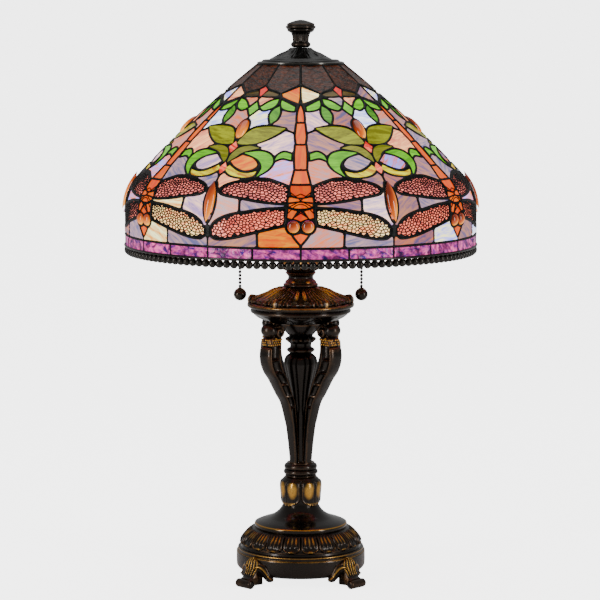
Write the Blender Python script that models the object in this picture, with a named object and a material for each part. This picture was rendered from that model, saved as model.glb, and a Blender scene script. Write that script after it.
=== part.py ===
"""Table lamp with a leaded glass shade: a scrolled cast column on a footed base, two pull chain sockets and a shade.

Sizes below are in millimetres and become metres when a piece is made. +Z is up, the floor is at zero,
and the lamp faces -Y. Everything stands on one threaded pipe, which runs up the Z axis.
"""

import math

import bmesh
import bpy
from mathutils import Matrix, Vector

MM = 0.001
FULL_TURN = 2.0 * math.pi

# Clearances
TOUCH_GAP = 0.3            # between castings that rest on each other
BORE_GAP = 0.3             # between the pipe and whatever it passes through
SCREW_GAP = 0.4            # between mating threads, which are modelled plain

# Threaded pipe
PIPE_RADIUS = 5.0
PIPE_BORE = 3.4
NUT_ACROSS_FLATS = 17.0
NUT_HEIGHT = 5.0
WASHER_RADIUS = 14.0
WASHER_HEIGHT = 1.6

# Base
BASE_RADIUS = 77.5
BASE_CLEAR = 12.0          # underside of the drum above the floor
DRUM_HEIGHT = 21.0
DRUM_CHAMFER = 4.5
BASE_SHOULDER_HEIGHT = 10.5
LEAF_BAND_HEIGHT = 17.5
LEAF_BAND_RUN = 16.0       # how far the leaf band leans in
BASE_SHOULDER_RUN = 5.5
BASE_WALL = 4.0
COVER_THICKNESS = 2.0
COVER_LEDGE = 3.5          # depth of the cover inside the drum's lower edge
INLET_RADIUS = 5.0
INLET_HEIGHT = 23.0        # centre of the cord inlet above the floor

# Feet
FOOT_COUNT = 4
FOOT_FIRST_ANGLE = 45.0
FOOT_WIDTH = 22.0
FOOT_TOP = 31.0
FOOT_REACH = 21.5          # toe beyond the drum's wall
FOOT_TOE_RADIUS = 5.0
FOOT_HEEL = 12.0           # how far the sole reaches in under the drum

# Bell neck and the pieces stacked on it
BELL_FLANGE_RUN = 0.6
BELL_LIP = 5.0
BELL_HEIGHT = 23.7         # from the lip's top to the neck's top
BELL_NECK_RADIUS = 20.0
BELL_WALL = 3.5
COLLAR_HEIGHT = 31.8       # above the bell's top
COLLAR_RADIUS = 24.0
COLLAR_FOOT_RADIUS = 22.4
COLLAR_LAP = 2.0           # collar's lower edge below the bell's top
COLLAR_LAP_GAP = 1.3
RING_HEIGHT = 17.5
RING_RADIUS = 20.5
RING_NECK = 17.0

# Scroll arms
ARM_COUNT = 4
ARM_FIRST_ANGLE = 45.0
ARM_HEIGHT = 168.0         # from the ring up to the underside of the capital
SHOULDER_RADIUS = 61.0     # outer face at the shoulder
SHOULDER_DEPTH = 21.0
SHOULDER_WIDTH = 19.8
ARM_FOOT_RADIUS = 15.0
ARM_FOOT_DEPTH = 6.8
ARM_FOOT_WIDTH = 9.6
ARM_BELLY = 1.6            # outward bow below the shoulder
SHOULDER_ROUND = 7.0
ARM_BAND_HEIGHT = 11.0     # beaded band between the shoulder and the head
HEAD_HEIGHT = 17.0
VOLUTE_RADIUS = 8.0
VOLUTE_SETBACK = 9.4       # volute centre in from the shoulder's outer face
CORE_RADIUS = 7.2          # sleeve between the arms' feet
BALUSTER_RADIUS = 19.8
BALUSTER_LENGTH = 128.0

# Capital, dome, neck and cup
CAPITAL_RADIUS = 64.0
CAPITAL_HEIGHT = 25.0
CAPITAL_SEAT_RADIUS = 53.0
DOME_RADIUS = 59.5
DOME_HEIGHT = 18.5
DOME_WALL = 4.0
NECK_HEIGHT = 15.0
NECK_RADIUS = 20.9
NECK_WAIST = 15.0
CUP_HEIGHT = 31.0
CUP_FOOT_RADIUS = 17.9
CUP_RADIUS = 23.6

# Socket cluster
CLUSTER_RADIUS = 19.0
CLUSTER_HEIGHT = 24.0
SOCKET_SPREAD = 45.0       # socket axis from the lamp's axis
SOCKET_ARM_RADIUS = 4.6
SOCKET_ARM_BEND = 9.0
SOCKET_LIFT = 12.0         # socket's foot above the cluster's middle
SOCKET_RADIUS = 16.8
SOCKET_HEIGHT = 46.0
SOCKET_WALL = 1.6
SOCKET_FLOOR = 12.0
LINER_WALL = 0.9
BULB_RADIUS = 30.0
BULB_LENGTH = 84.0         # glass above its brass base

# Pull chains
CHAIN_SPREAD = 72.5
GUIDE_RADIUS = 4.2
GUIDE_HEIGHT = 8.0
GUIDE_LIFT = 5.0           # guide's foot above the socket's foot
LINK_RADIUS = 1.3
LINK_TRAVEL = 8.0
LINK_KNOB = 2.4
CHAIN_RADIUS = 1.5
CHAIN_LENGTH = 72.5
PULL_BALL_RADIUS = 7.4

# Shade
SHADE_RADIUS = 208.5
SHADE_TOP_RADIUS = 50.5
SHADE_RIM_HEIGHT = 402.6   # lower edge of the leaded rim above the floor
SHADE_RIM_STRAIGHT = 42.5
SHADE_SHOULDER_RADIUS = 60.0
SHADE_SLOPE_TOP = 38.5     # degrees below level at the top
SHADE_SLOPE_SHOULDER = 47.0
GLASS_THICKNESS = 2.6
LEAD_THICKNESS = 3.4
LEAD_WIDTH = 5.0
RIM_BAND = 13.0
CROWN_LENGTH = 42.0        # crown glass, measured down the slope
SECTOR_COUNT = 6
SECTOR_STEPS = 8
BEAD_RADIUS = 4.0
FRINGE_DROP = 9.2

# Spider, cap and finial
SPIDER_RADIUS = 50.0
SPIDER_RING = 7.0
SPIDER_HUB = 12.0
SPIDER_THICKNESS = 2.5
SPIDER_DROP = 4.4          # spider's top below the shade's upper edge
CAP_RADIUS = 51.6
CAP_HEIGHT = 18.8
FINIAL_RADIUS = 17.9
FINIAL_HEIGHT = 32.5
FINIAL_NECK = 9.7


# Heights that follow from the stack of pieces
base_ledge = BASE_CLEAR + DRUM_HEIGHT + BASE_SHOULDER_HEIGHT + LEAF_BAND_HEIGHT
bell_foot = base_ledge + TOUCH_GAP
bell_top = bell_foot + BELL_LIP + BELL_HEIGHT
collar_top = bell_top + COLLAR_HEIGHT
ring_foot = collar_top + TOUCH_GAP
ring_top = ring_foot + RING_HEIGHT
arm_foot = ring_top + TOUCH_GAP
arm_top = arm_foot + ARM_HEIGHT
capital_foot = arm_top + TOUCH_GAP
capital_top = capital_foot + CAPITAL_HEIGHT
dome_foot = capital_top + TOUCH_GAP
dome_top = dome_foot + DOME_HEIGHT
neck_foot = dome_top + TOUCH_GAP
neck_top = neck_foot + NECK_HEIGHT
cup_foot = neck_top + TOUCH_GAP
cup_top = cup_foot + CUP_HEIGHT
cluster_foot = cup_top + TOUCH_GAP
cluster_middle = cluster_foot + CLUSTER_HEIGHT / 2.0
cluster_top = cluster_foot + CLUSTER_HEIGHT
socket_foot = cluster_middle + SOCKET_LIFT
pipe_bore = PIPE_RADIUS + BORE_GAP

# The shade's section: a long shallow arc, a tight shoulder arc and a straight rim
slope_top = math.radians(SHADE_SLOPE_TOP)
slope_shoulder = math.radians(SHADE_SLOPE_SHOULDER)
shoulder_run = SHADE_SHOULDER_RADIUS * (1.0 - math.sin(slope_shoulder))
shoulder_drop = SHADE_SHOULDER_RADIUS * math.cos(slope_shoulder)
shoulder_start = SHADE_RADIUS - shoulder_run
crown_arc_radius = (shoulder_start - SHADE_TOP_RADIUS) / (math.sin(slope_shoulder) - math.sin(slope_top))
crown_arc_drop = crown_arc_radius * (math.cos(slope_top) - math.cos(slope_shoulder))
crown_arc_length = crown_arc_radius * (slope_shoulder - slope_top)
shoulder_length = SHADE_SHOULDER_RADIUS * (math.pi / 2.0 - slope_shoulder)
shade_length = crown_arc_length + shoulder_length + SHADE_RIM_STRAIGHT
shade_top = SHADE_RIM_HEIGHT + SHADE_RIM_STRAIGHT + shoulder_drop + crown_arc_drop
spider_top = shade_top - SPIDER_DROP
cap_foot = shade_top - 0.2
cap_top = cap_foot + CAP_HEIGHT
finial_foot = cap_top + TOUCH_GAP
pipe_foot = BASE_CLEAR + COVER_LEDGE + COVER_THICKNESS + 2.0
pipe_top = finial_foot + 14.0


def clear_scene():
    for old in list(bpy.data.objects):
        bpy.data.objects.remove(old, do_unlink=True)


def finish(name, colour, metallic, roughness):
    """A Principled material."""
    material = bpy.data.materials.new(name)
    material.use_nodes = True
    shader = material.node_tree.nodes["Principled BSDF"]
    shader.inputs["Base Color"].default_value = (*colour, 1.0)
    shader.inputs["Metallic"].default_value = metallic
    shader.inputs["Roughness"].default_value = roughness
    return material


def placed(name, bm, material, origin=(0.0, 0.0, 0.0), turn=0.0):
    """Makes the object: the mesh is in millimetres round the piece's own origin."""
    bmesh.ops.recalc_face_normals(bm, faces=bm.faces)
    bmesh.ops.scale(bm, vec=(MM, MM, MM), verts=bm.verts)
    mesh = bpy.data.meshes.new(name)
    bm.to_mesh(mesh)
    bm.free()
    mesh.materials.append(material)
    mesh.shade_smooth()
    mesh.set_sharp_from_angle(angle=math.radians(35.0))
    piece = bpy.data.objects.new(name, mesh)
    piece.location = Vector(origin) * MM
    piece.rotation_euler.z = math.radians(turn)
    bpy.context.scene.collection.objects.link(piece)
    return piece


def spun(bm, section, steps, closed=True, centre=(0.0, 0.0)):
    """Spins a (radius, height) section round a vertical axis: a closed loop, or one from axis to axis."""
    corners = [bm.verts.new((centre[0] + radius, centre[1], height)) for radius, height in section]
    pairs = list(zip(corners, corners[1:]))
    if closed:
        pairs.append((corners[-1], corners[0]))
    edges = [bm.edges.new(pair) for pair in pairs]
    made = bmesh.ops.spin(
        bm, geom=corners + edges, cent=(*centre, 0.0), axis=(0.0, 0.0, 1.0),
        angle=FULL_TURN, steps=steps, use_merge=True,
    )
    bmesh.ops.remove_doubles(bm, verts=bm.verts, dist=0.001)
    bmesh.ops.dissolve_degenerate(bm, edges=bm.edges, dist=0.001)
    return made


def turned(name, section, steps, material, closed=True, origin=(0.0, 0.0, 0.0)):
    bm = bmesh.new()
    spun(bm, section, steps, closed)
    return placed(name, bm, material, origin)


def prism(bm, outline, low, high):
    """A straight prism over an (x, y) outline."""
    corners = [bm.verts.new((x, y, low)) for x, y in outline]
    face = bm.faces.new(corners)
    lifted = bmesh.ops.extrude_face_region(bm, geom=[face])["geom"]
    raised = [part for part in lifted if isinstance(part, bmesh.types.BMVert)]
    bmesh.ops.translate(bm, vec=(0.0, 0.0, high - low), verts=raised)


def lofted(bm, rings):
    """Joins rings of corners, all of one length, and closes both ends."""
    rows = [[bm.verts.new(corner) for corner in ring] for ring in rings]
    count = len(rows[0])
    for row, following in zip(rows, rows[1:]):
        for index in range(count):
            beside = (index + 1) % count
            bm.faces.new((row[index], row[beside], following[beside], following[index]))
    bm.faces.new(rows[0])
    bm.faces.new(rows[-1])


def joined(piece, other):
    """Unions another object into the piece and removes it."""
    union = piece.modifiers.new("join", "BOOLEAN")
    union.operation = "UNION"
    union.object = other
    other.hide_render = True
    other.display_type = "WIRE"


def blended(start, end, share):
    return start + (end - start) * share


def shade_point(along, depth=0.0):
    """Radius and height on the shade, a length down from its upper edge and a depth below its face."""
    if along <= crown_arc_length:
        slope = slope_top + along / crown_arc_radius
        radius = SHADE_TOP_RADIUS + crown_arc_radius * (math.sin(slope) - math.sin(slope_top))
        height = shade_top - crown_arc_radius * (math.cos(slope_top) - math.cos(slope))
    elif along <= crown_arc_length + shoulder_length:
        slope = slope_shoulder + (along - crown_arc_length) / SHADE_SHOULDER_RADIUS
        radius = SHADE_RADIUS - SHADE_SHOULDER_RADIUS * (1.0 - math.sin(slope))
        height = SHADE_RIM_HEIGHT + SHADE_RIM_STRAIGHT + SHADE_SHOULDER_RADIUS * math.cos(slope)
    else:
        slope = math.pi / 2.0
        radius = SHADE_RADIUS
        height = SHADE_RIM_HEIGHT + shade_length - along
    return radius - depth * math.sin(slope), height - depth * math.cos(slope)


def shell(bm, lines, alongs, kept, top_depth, thickness, around=False):
    """A curved sheet on the shade's section: the cells that kept(column, row) names, given a thickness.

    Each of its lines runs down the shade at an angle, shifted sideways by a length that stays the same.
    """
    columns = len(lines) if around else len(lines) - 1
    rows = len(alongs) - 1
    cells = {(c, r) for c in range(columns) for r in range(rows) if kept(c, r)}
    corners = {}

    def corner(column, row, level):
        key = (column % len(lines), row, level)
        if key not in corners:
            face_radius = shade_point(alongs[row])[0]
            radius, height = shade_point(alongs[row], top_depth + thickness * level)
            angle, shift = lines[key[0]]
            angle += shift / face_radius
            corners[key] = bm.verts.new((radius * math.cos(angle), radius * math.sin(angle), height))
        return corners[key]

    for column, row in cells:
        ring = ((column, row), (column + 1, row), (column + 1, row + 1), (column, row + 1))
        for level in (0, 1):
            bm.faces.new([corner(c, r, level) for c, r in ring])
        sides = (
            ((column, row - 1), ring[0], ring[1]),
            (((column + 1) % columns if around else column + 1, row), ring[1], ring[2]),
            ((column, row + 1), ring[2], ring[3]),
            (((column - 1) % columns if around else column - 1, row), ring[3], ring[0]),
        )
        for neighbour, start, end in sides:
            if neighbour not in cells:
                bm.faces.new((corner(*start, 0), corner(*end, 0), corner(*end, 1), corner(*start, 1)))


def section_stops(start, end):
    """Stops down the shade's section: long steps on the shallow arc and short ones round the shoulder."""
    turn_start = crown_arc_length
    turn_end = crown_arc_length + shoulder_length
    marks = [start, end]
    marks += [turn_start * share for share in (0.42, 0.72)]
    marks += [turn_start + shoulder_length * share for share in (0.0, 0.3, 0.6, 1.0)]
    keep = sorted(mark for mark in marks if start + 4.0 < mark < end - 4.0)
    return [start] + [mark for mark in keep if mark < turn_end + 1.0] + [end]


# Base

def make_base(bronze, felt, rubber):
    low = BASE_CLEAR
    drum_top = low + DRUM_HEIGHT
    shoulder_top = drum_top + BASE_SHOULDER_HEIGHT
    shoulder_radius = BASE_RADIUS - BASE_SHOULDER_RUN
    ledge_radius = shoulder_radius - LEAF_BAND_RUN
    wall = BASE_WALL
    cover_seat = low + COVER_LEDGE + COVER_THICKNESS + TOUCH_GAP
    cover_radius = BASE_RADIUS - DRUM_CHAMFER - wall
    section = [
        (BASE_RADIUS - DRUM_CHAMFER, low),
        (BASE_RADIUS, low + DRUM_CHAMFER),
        (BASE_RADIUS, drum_top),
        (BASE_RADIUS - 1.6, drum_top + 2.6),
        (BASE_RADIUS - 2.6, drum_top + 4.6),
        (shoulder_radius, shoulder_top),
        (blended(shoulder_radius, ledge_radius, 0.35), blended(shoulder_top, base_ledge, 0.55)),
        (ledge_radius, base_ledge),
        (pipe_bore, base_ledge),
        (pipe_bore, base_ledge - wall),
        (ledge_radius - wall, base_ledge - wall),
        (shoulder_radius - wall - 1.0, shoulder_top - 2.0),
        (BASE_RADIUS - wall, drum_top - 1.0),
        (BASE_RADIUS - wall, cover_seat + 3.0),
        (cover_radius - 2.5, cover_seat),
        (cover_radius + TOUCH_GAP, cover_seat),
        (cover_radius + TOUCH_GAP, low),
    ]
    plinth = turned("base_plinth", section, 40, bronze)
    bored_for_inlet(plinth)
    cover_low = low + COVER_LEDGE
    cover = [
        (WASHER_RADIUS + 6.0, cover_low),
        (cover_radius, cover_low),
        (cover_radius, cover_low + COVER_THICKNESS),
        (WASHER_RADIUS + 6.0, cover_low + COVER_THICKNESS),
    ]
    turned("base_cover_plate", cover, 32, felt)
    make_inlet_bush(rubber)


def bored_for_inlet(plinth):
    """Cuts the cord inlet through the back of the drum."""
    bm = bmesh.new()
    along_y = Matrix.Rotation(math.pi / 2.0, 4, "X")
    middle = Matrix.Translation((0.0, BASE_RADIUS - BASE_WALL / 2.0, INLET_HEIGHT))
    bmesh.ops.create_cone(
        bm, cap_ends=True, segments=16, radius1=INLET_RADIUS, radius2=INLET_RADIUS,
        depth=BASE_WALL * 4.0, matrix=middle @ along_y,
    )
    cutter = placed("inlet_cutter", bm, plinth.data.materials[0])
    cutter.hide_render = True
    cutter.display_type = "WIRE"
    cut = plinth.modifiers.new("inlet", "BOOLEAN")
    cut.operation = "DIFFERENCE"
    cut.object = cutter


def make_inlet_bush(rubber):
    """The bush that a cord would pass through: a short sleeve with a flange outside the drum."""
    bm = bmesh.new()
    outer = INLET_RADIUS - TOUCH_GAP
    bore = 3.2
    face = BASE_RADIUS + TOUCH_GAP
    flange = INLET_RADIUS + 2.2
    section = [
        (bore, face - BASE_WALL - 2.5),
        (outer, face - BASE_WALL - 2.5),
        (outer, face),
        (flange, face),
        (flange, face + 1.4),
        (bore, face + 2.2),
    ]
    spun(bm, section, 16)
    stand = Matrix.Translation((0.0, 0.0, INLET_HEIGHT)) @ Matrix.Rotation(-math.pi / 2.0, 4, "X")
    bmesh.ops.transform(bm, matrix=stand, verts=bm.verts)
    placed("cord_inlet_bush", bm, rubber)


def make_pipe(steel):
    section = [(PIPE_BORE, pipe_foot), (PIPE_RADIUS, pipe_foot), (PIPE_RADIUS, pipe_top), (PIPE_BORE, pipe_top)]
    turned("threaded_pipe", section, 16, steel)
    washer_top = base_ledge - BASE_WALL - TOUCH_GAP
    washer = [
        (pipe_bore, washer_top - WASHER_HEIGHT),
        (WASHER_RADIUS, washer_top - WASHER_HEIGHT),
        (WASHER_RADIUS, washer_top),
        (pipe_bore, washer_top),
    ]
    turned("base_washer", washer, 20, steel)
    make_hex_nut("base_lock_nut", washer_top - WASHER_HEIGHT - TOUCH_GAP - NUT_HEIGHT, steel)


def make_hex_nut(name, low, steel):
    """A hexagon nut round the pipe."""
    bm = bmesh.new()
    corner_radius = NUT_ACROSS_FLATS / 2.0 / math.cos(math.pi / 6.0)
    bore = PIPE_RADIUS + SCREW_GAP
    rings = []
    for level in (0.0, NUT_HEIGHT):
        for radius in (corner_radius, bore):
            turns = [FULL_TURN * index / 12.0 for index in range(12)]
            flats = [1.0 if index % 2 == 0 else math.cos(math.pi / 6.0) for index in range(12)]
            shape = flats if radius == corner_radius else [1.0] * 12
            rings.append([
                bm.verts.new((radius * f * math.cos(t), radius * f * math.sin(t), low + level))
                for t, f in zip(turns, shape)
            ])
    outer_low, inner_low, outer_high, inner_high = rings
    for start, end in ((outer_low, outer_high), (outer_high, inner_high), (inner_high, inner_low),
                       (inner_low, outer_low)):
        for index in range(12):
            beside = (index + 1) % 12
            bm.faces.new((start[index], start[beside], end[beside], end[index]))
    placed(name, bm, steel)


def make_feet(bronze):
    """Scroll feet: a leaf up the drum's wall that sweeps out to a rolled toe."""
    inner = BASE_RADIUS + TOUCH_GAP
    toe_centre = BASE_RADIUS + FOOT_REACH - FOOT_TOE_RADIUS
    under = BASE_CLEAR - TOUCH_GAP
    toe = []
    for degrees in (75.0, 40.0, 5.0, -30.0, -65.0, -90.0):
        angle = math.radians(degrees)
        toe.append((toe_centre + FOOT_TOE_RADIUS * math.cos(angle),
                    FOOT_TOE_RADIUS + FOOT_TOE_RADIUS * math.sin(angle)))
    heel_radius = BASE_RADIUS - FOOT_HEEL
    outline = [(inner + 2.0, FOOT_TOP), (inner + 5.0, FOOT_TOP - 7.0), (inner + 5.5, FOOT_TOP - 15.0)]
    outline += toe
    outline += [(heel_radius, 0.0), (heel_radius - 1.0, under), (BASE_RADIUS - DRUM_CHAMFER, under),
                (inner, under + DRUM_CHAMFER), (inner, FOOT_TOP)]
    for index in range(FOOT_COUNT):
        bm = bmesh.new()
        half = FOOT_WIDTH / 2.0
        corners = [bm.verts.new((radius, -half, height)) for radius, height in outline]
        face = bm.faces.new(corners)
        made = bmesh.ops.extrude_face_region(bm, geom=[face])["geom"]
        moved = [part for part in made if isinstance(part, bmesh.types.BMVert)]
        bmesh.ops.translate(bm, vec=(0.0, FOOT_WIDTH, 0.0), verts=moved)
        slice_once(bm, (0.0, 0.0, 0.0), (0.0, 1.0, 0.0))
        curve_round_drum(bm, inner, heel_radius)
        turn = FOOT_FIRST_ANGLE + index * 360.0 / FOOT_COUNT
        placed("foot_" + ("back_right", "back_left", "front_left", "front_right")[index], bm, bronze, turn=turn)


def slice_once(bm, point, normal):
    geometry = bm.verts[:] + bm.edges[:] + bm.faces[:]
    bmesh.ops.bisect_plane(bm, geom=geometry, plane_co=point, plane_no=normal, dist=0.0001)


def curve_round_drum(bm, inner, heel_radius):
    """Moves the foot's drum side back at its middle or out at its edges, so that it clears the round wall."""
    for corner in bm.verts:
        if heel_radius + 0.5 < corner.co.x < inner + 2.5 and corner.co.z > 1.0:
            away = 1.0 - abs(corner.co.y) / (FOOT_WIDTH / 2.0)
            corner.co.x += 0.12 * away


# Column

def make_bell_neck(bronze):
    ledge_radius = BASE_RADIUS - BASE_SHOULDER_RUN - LEAF_BAND_RUN
    flange = ledge_radius + BELL_FLANGE_RUN - 1.0
    lip_top = bell_foot + BELL_LIP
    flare = [(flange, bell_foot), (flange, lip_top)]
    for share in (0.18, 0.4, 0.62, 0.82, 1.0):
        narrow = (1.0 - share) ** 1.9
        flare.append((BELL_NECK_RADIUS + (flange - 1.0 - BELL_NECK_RADIUS) * narrow,
                      lip_top + BELL_HEIGHT * share))
    inside = [(radius - BELL_WALL, height - 1.5) for radius, height in reversed(flare[2:-1])]
    section = flare + [(pipe_bore, bell_top), (pipe_bore, bell_top - BELL_WALL)] + inside
    section += [(flange - BELL_WALL, bell_foot)]
    turned("bell_neck", section, 32, bronze)


def make_petal_collar(bronze):
    """Petal collar: laps over the bell's neck and stands on its top."""
    foot = bell_top - COLLAR_LAP
    over = BELL_NECK_RADIUS + COLLAR_LAP_GAP
    section = [
        (COLLAR_FOOT_RADIUS, foot),
        (COLLAR_FOOT_RADIUS - 0.8, foot + 4.0),
        (blended(COLLAR_FOOT_RADIUS, COLLAR_RADIUS, 0.2), bell_top + COLLAR_HEIGHT * 0.36),
        (COLLAR_RADIUS, bell_top + COLLAR_HEIGHT * 0.72),
        (COLLAR_RADIUS, bell_top + COLLAR_HEIGHT * 0.84),
        (COLLAR_RADIUS - 4.5, collar_top),
        (pipe_bore, collar_top),
        (pipe_bore, bell_top + TOUCH_GAP),
        (over, bell_top + TOUCH_GAP),
        (over, foot),
    ]
    turned("petal_collar", section, 28, bronze)


def make_ring_moulding(bronze):
    section = [
        (pipe_bore, ring_foot),
        (RING_NECK, ring_foot),
        (RING_NECK, ring_foot + 4.0),
        (RING_RADIUS, ring_foot + 5.5),
        (RING_RADIUS, ring_foot + 9.0),
        (RING_RADIUS - 2.0, ring_foot + 10.5),
        (RING_RADIUS - 1.2, ring_foot + 12.0),
        (RING_RADIUS - 1.2, ring_foot + 15.0),
        (RING_RADIUS - 3.6, ring_top),
        (pipe_bore, ring_top),
    ]
    turned("ring_moulding", section, 24, bronze)


def arm_stations():
    """Height, outer radius, depth and width up an arm: a slow S to the shoulder, a band, then the neck."""
    shoulder = ARM_HEIGHT - HEAD_HEIGHT - ARM_BAND_HEIGHT - SHOULDER_ROUND
    stations = []
    for share in (0.0, 0.15, 0.3, 0.42, 0.54, 0.64, 0.74, 0.84, 0.93, 1.0):
        swell = math.sin(math.pi / 2.0 * share ** 1.75) ** 2
        belly = ARM_BELLY * math.sin(math.pi * share)
        reach = min(1.0, max(0.0, (share - 0.2) / 0.58))
        stations.append((
            arm_foot + shoulder * share,
            blended(ARM_FOOT_RADIUS, SHOULDER_RADIUS, swell) + belly,
            blended(ARM_FOOT_DEPTH, SHOULDER_DEPTH, reach * reach * (3.0 - 2.0 * reach)),
            blended(ARM_FOOT_WIDTH, SHOULDER_WIDTH, share),
        ))
    band = arm_foot + shoulder + SHOULDER_ROUND
    stations.append((band - 1.0, SHOULDER_RADIUS - 0.6, SHOULDER_DEPTH - 0.6, SHOULDER_WIDTH - 1.0))
    stations.append((band + 0.6, SHOULDER_RADIUS - 2.8, SHOULDER_DEPTH - 2.0, SHOULDER_WIDTH - 2.6))
    stations.append((band + ARM_BAND_HEIGHT, SHOULDER_RADIUS - 4.6, SHOULDER_DEPTH - 3.0, SHOULDER_WIDTH - 4.0))
    stations.append((arm_top - VOLUTE_RADIUS, SHOULDER_RADIUS - 5.0, SHOULDER_DEPTH - 3.0, SHOULDER_WIDTH - 5.4))
    return stations


def make_arms(bronze):
    names = ("back_right", "back_left", "front_left", "front_right")
    for index in range(ARM_COUNT):
        turn = ARM_FIRST_ANGLE + index * 360.0 / ARM_COUNT
        bm = bmesh.new()
        rings = []
        for height, outer, depth, width in arm_stations():
            inner = outer - depth
            half = width / 2.0
            bevel = min(width, depth) * 0.28
            rings.append([
                (inner, -half, height), (outer - bevel, -half, height), (outer, -half + bevel, height),
                (outer, half - bevel, height), (outer - bevel, half, height), (inner, half, height),
            ])
        lofted(bm, rings)
        arm = placed("scroll_arm_" + names[index], bm, bronze, turn=turn)
        joined(arm, make_volute(names[index], turn, bronze))


def make_volute(name, turn, bronze):
    """The rolled head of an arm: a short drum lying across the arm, with a flat top under the capital."""
    centre = (SHOULDER_RADIUS - VOLUTE_SETBACK, 0.0, arm_top - VOLUTE_RADIUS)
    rings = []
    half = (SHOULDER_WIDTH - 3.4) / 2.0 - 0.6
    for side, size in ((-half, 0.8), (-half * 0.6, 1.0), (half * 0.6, 1.0), (half, 0.8)):
        ring = []
        for index in range(12):
            angle = FULL_TURN * index / 12.0
            reach = VOLUTE_RADIUS * size
            ring.append((centre[0] + reach * 1.12 * math.cos(angle), side,
                         centre[2] + reach * math.sin(angle)))
        rings.append(ring)
    bm = bmesh.new()
    lofted(bm, rings)
    return placed("volute_" + name, bm, bronze, turn=turn)


def make_baluster(bronze):
    top = arm_top
    low = top - BALUSTER_LENGTH
    belly = BALUSTER_RADIUS
    section = [
        (belly - 1.2, top),
        (belly - 7.0, top - 12.0),
        (belly - 9.6, top - 19.5),
        (belly - 1.9, top - 22.0),
        (belly - 6.6, top - 28.0),
        (belly - 3.0, top - 33.0),
        (belly - 6.4, top - 37.5),
        (belly, top - 49.0),
        (belly - 2.8, top - 68.0),
        (belly - 9.0, top - 95.0),
        (CORE_RADIUS, low),
        (CORE_RADIUS, arm_foot),
        (pipe_bore, arm_foot),
        (pipe_bore, top),
    ]
    turned("baluster", section, 20, bronze)


def make_capital(bronze):
    rim = CAPITAL_RADIUS
    top = capital_top
    seat = CAPITAL_SEAT_RADIUS
    section = [
        (pipe_bore, capital_foot),
        (seat, capital_foot),
        (seat + 1.5, capital_foot + 4.0),
        (rim - 6.0, capital_foot + 11.5),
        (rim - 3.4, capital_foot + 12.6),
        (rim - 3.0, capital_foot + 15.8),
        (rim - 4.6, capital_foot + 17.6),
        (rim - 0.6, capital_foot + 19.4),
        (rim, capital_foot + 22.0),
        (rim - 3.0, top),
        (pipe_bore, top),
    ]
    turned("capital_plate", section, 40, bronze)


def make_dome(bronze):
    rim = DOME_RADIUS
    section = [(rim - 1.0, dome_foot), (rim, dome_foot + 3.0), (rim - 4.0, dome_foot + 5.2)]
    for share in (0.3, 0.6, 0.85):
        section.append((blended(rim - 4.0, NECK_RADIUS - 1.0, share),
                        dome_foot + 5.2 + (DOME_HEIGHT - 5.2) * share ** 1.1))
    section += [(NECK_RADIUS - 1.5, dome_top), (pipe_bore, dome_top), (pipe_bore, dome_top - DOME_WALL)]
    section += [(NECK_RADIUS - 4.0, dome_top - DOME_WALL), (rim - 4.0 - DOME_WALL * 2.0, dome_foot)]
    turned("acanthus_dome", section, 36, bronze)


def make_neck(bronze):
    section = [
        (pipe_bore, neck_foot),
        (NECK_RADIUS - 2.0, neck_foot),
        (NECK_RADIUS, neck_foot + 1.5),
        (NECK_RADIUS - 1.5, neck_foot + 4.0),
        (NECK_WAIST + 1.0, neck_foot + 6.0),
        (NECK_WAIST, neck_foot + 9.0),
        (CUP_FOOT_RADIUS, neck_foot + 11.0),
        (CUP_FOOT_RADIUS, neck_top),
        (pipe_bore, neck_top),
    ]
    turned("neck_ring", section, 24, bronze)


def make_cup(bronze):
    section = [
        (pipe_bore, cup_foot),
        (CUP_FOOT_RADIUS - 1.0, cup_foot),
        (CUP_RADIUS - 1.6, cup_foot + 7.0),
        (CUP_RADIUS, cup_foot + 13.0),
        (CUP_RADIUS, cup_top - 3.0),
        (CUP_RADIUS - 2.0, cup_top),
        (pipe_bore, cup_top),
    ]
    turned("bud_cup", section, 24, bronze)


# Sockets, bulbs and pull chains

def make_cluster(brass):
    section = [
        (pipe_bore, cluster_foot),
        (CLUSTER_RADIUS, cluster_foot),
        (CLUSTER_RADIUS, cluster_top - 6.0),
        (CLUSTER_RADIUS - 6.0, cluster_top),
        (pipe_bore, cluster_top),
    ]
    turned("cluster_body", section, 20, brass)


def make_socket_arm(name, side, brass):
    """A bent tube from the cluster's side up to the socket's foot."""
    bend = SOCKET_ARM_BEND
    path = [(CLUSTER_RADIUS + 0.6, cluster_middle)]
    for step in range(5):
        angle = math.radians(22.5 * step)
        path.append((SOCKET_SPREAD - bend + bend * math.sin(angle), cluster_middle + bend - bend * math.cos(angle)))
    path.append((SOCKET_SPREAD, socket_foot - TOUCH_GAP))
    curve = bpy.data.curves.new(name, "CURVE")
    curve.dimensions = "3D"
    curve.render_resolution_u = 0
    curve.bevel_depth = SOCKET_ARM_RADIUS * MM
    curve.bevel_resolution = 2
    curve.use_fill_caps = True
    spline = curve.splines.new("POLY")
    spline.points.add(len(path) - 1)
    for point, (x, z) in zip(spline.points, path):
        point.co = (side * x * MM, 0.0, z * MM, 1.0)
    curve.materials.append(brass)
    bpy.context.scene.collection.objects.link(bpy.data.objects.new(name, curve))


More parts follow.
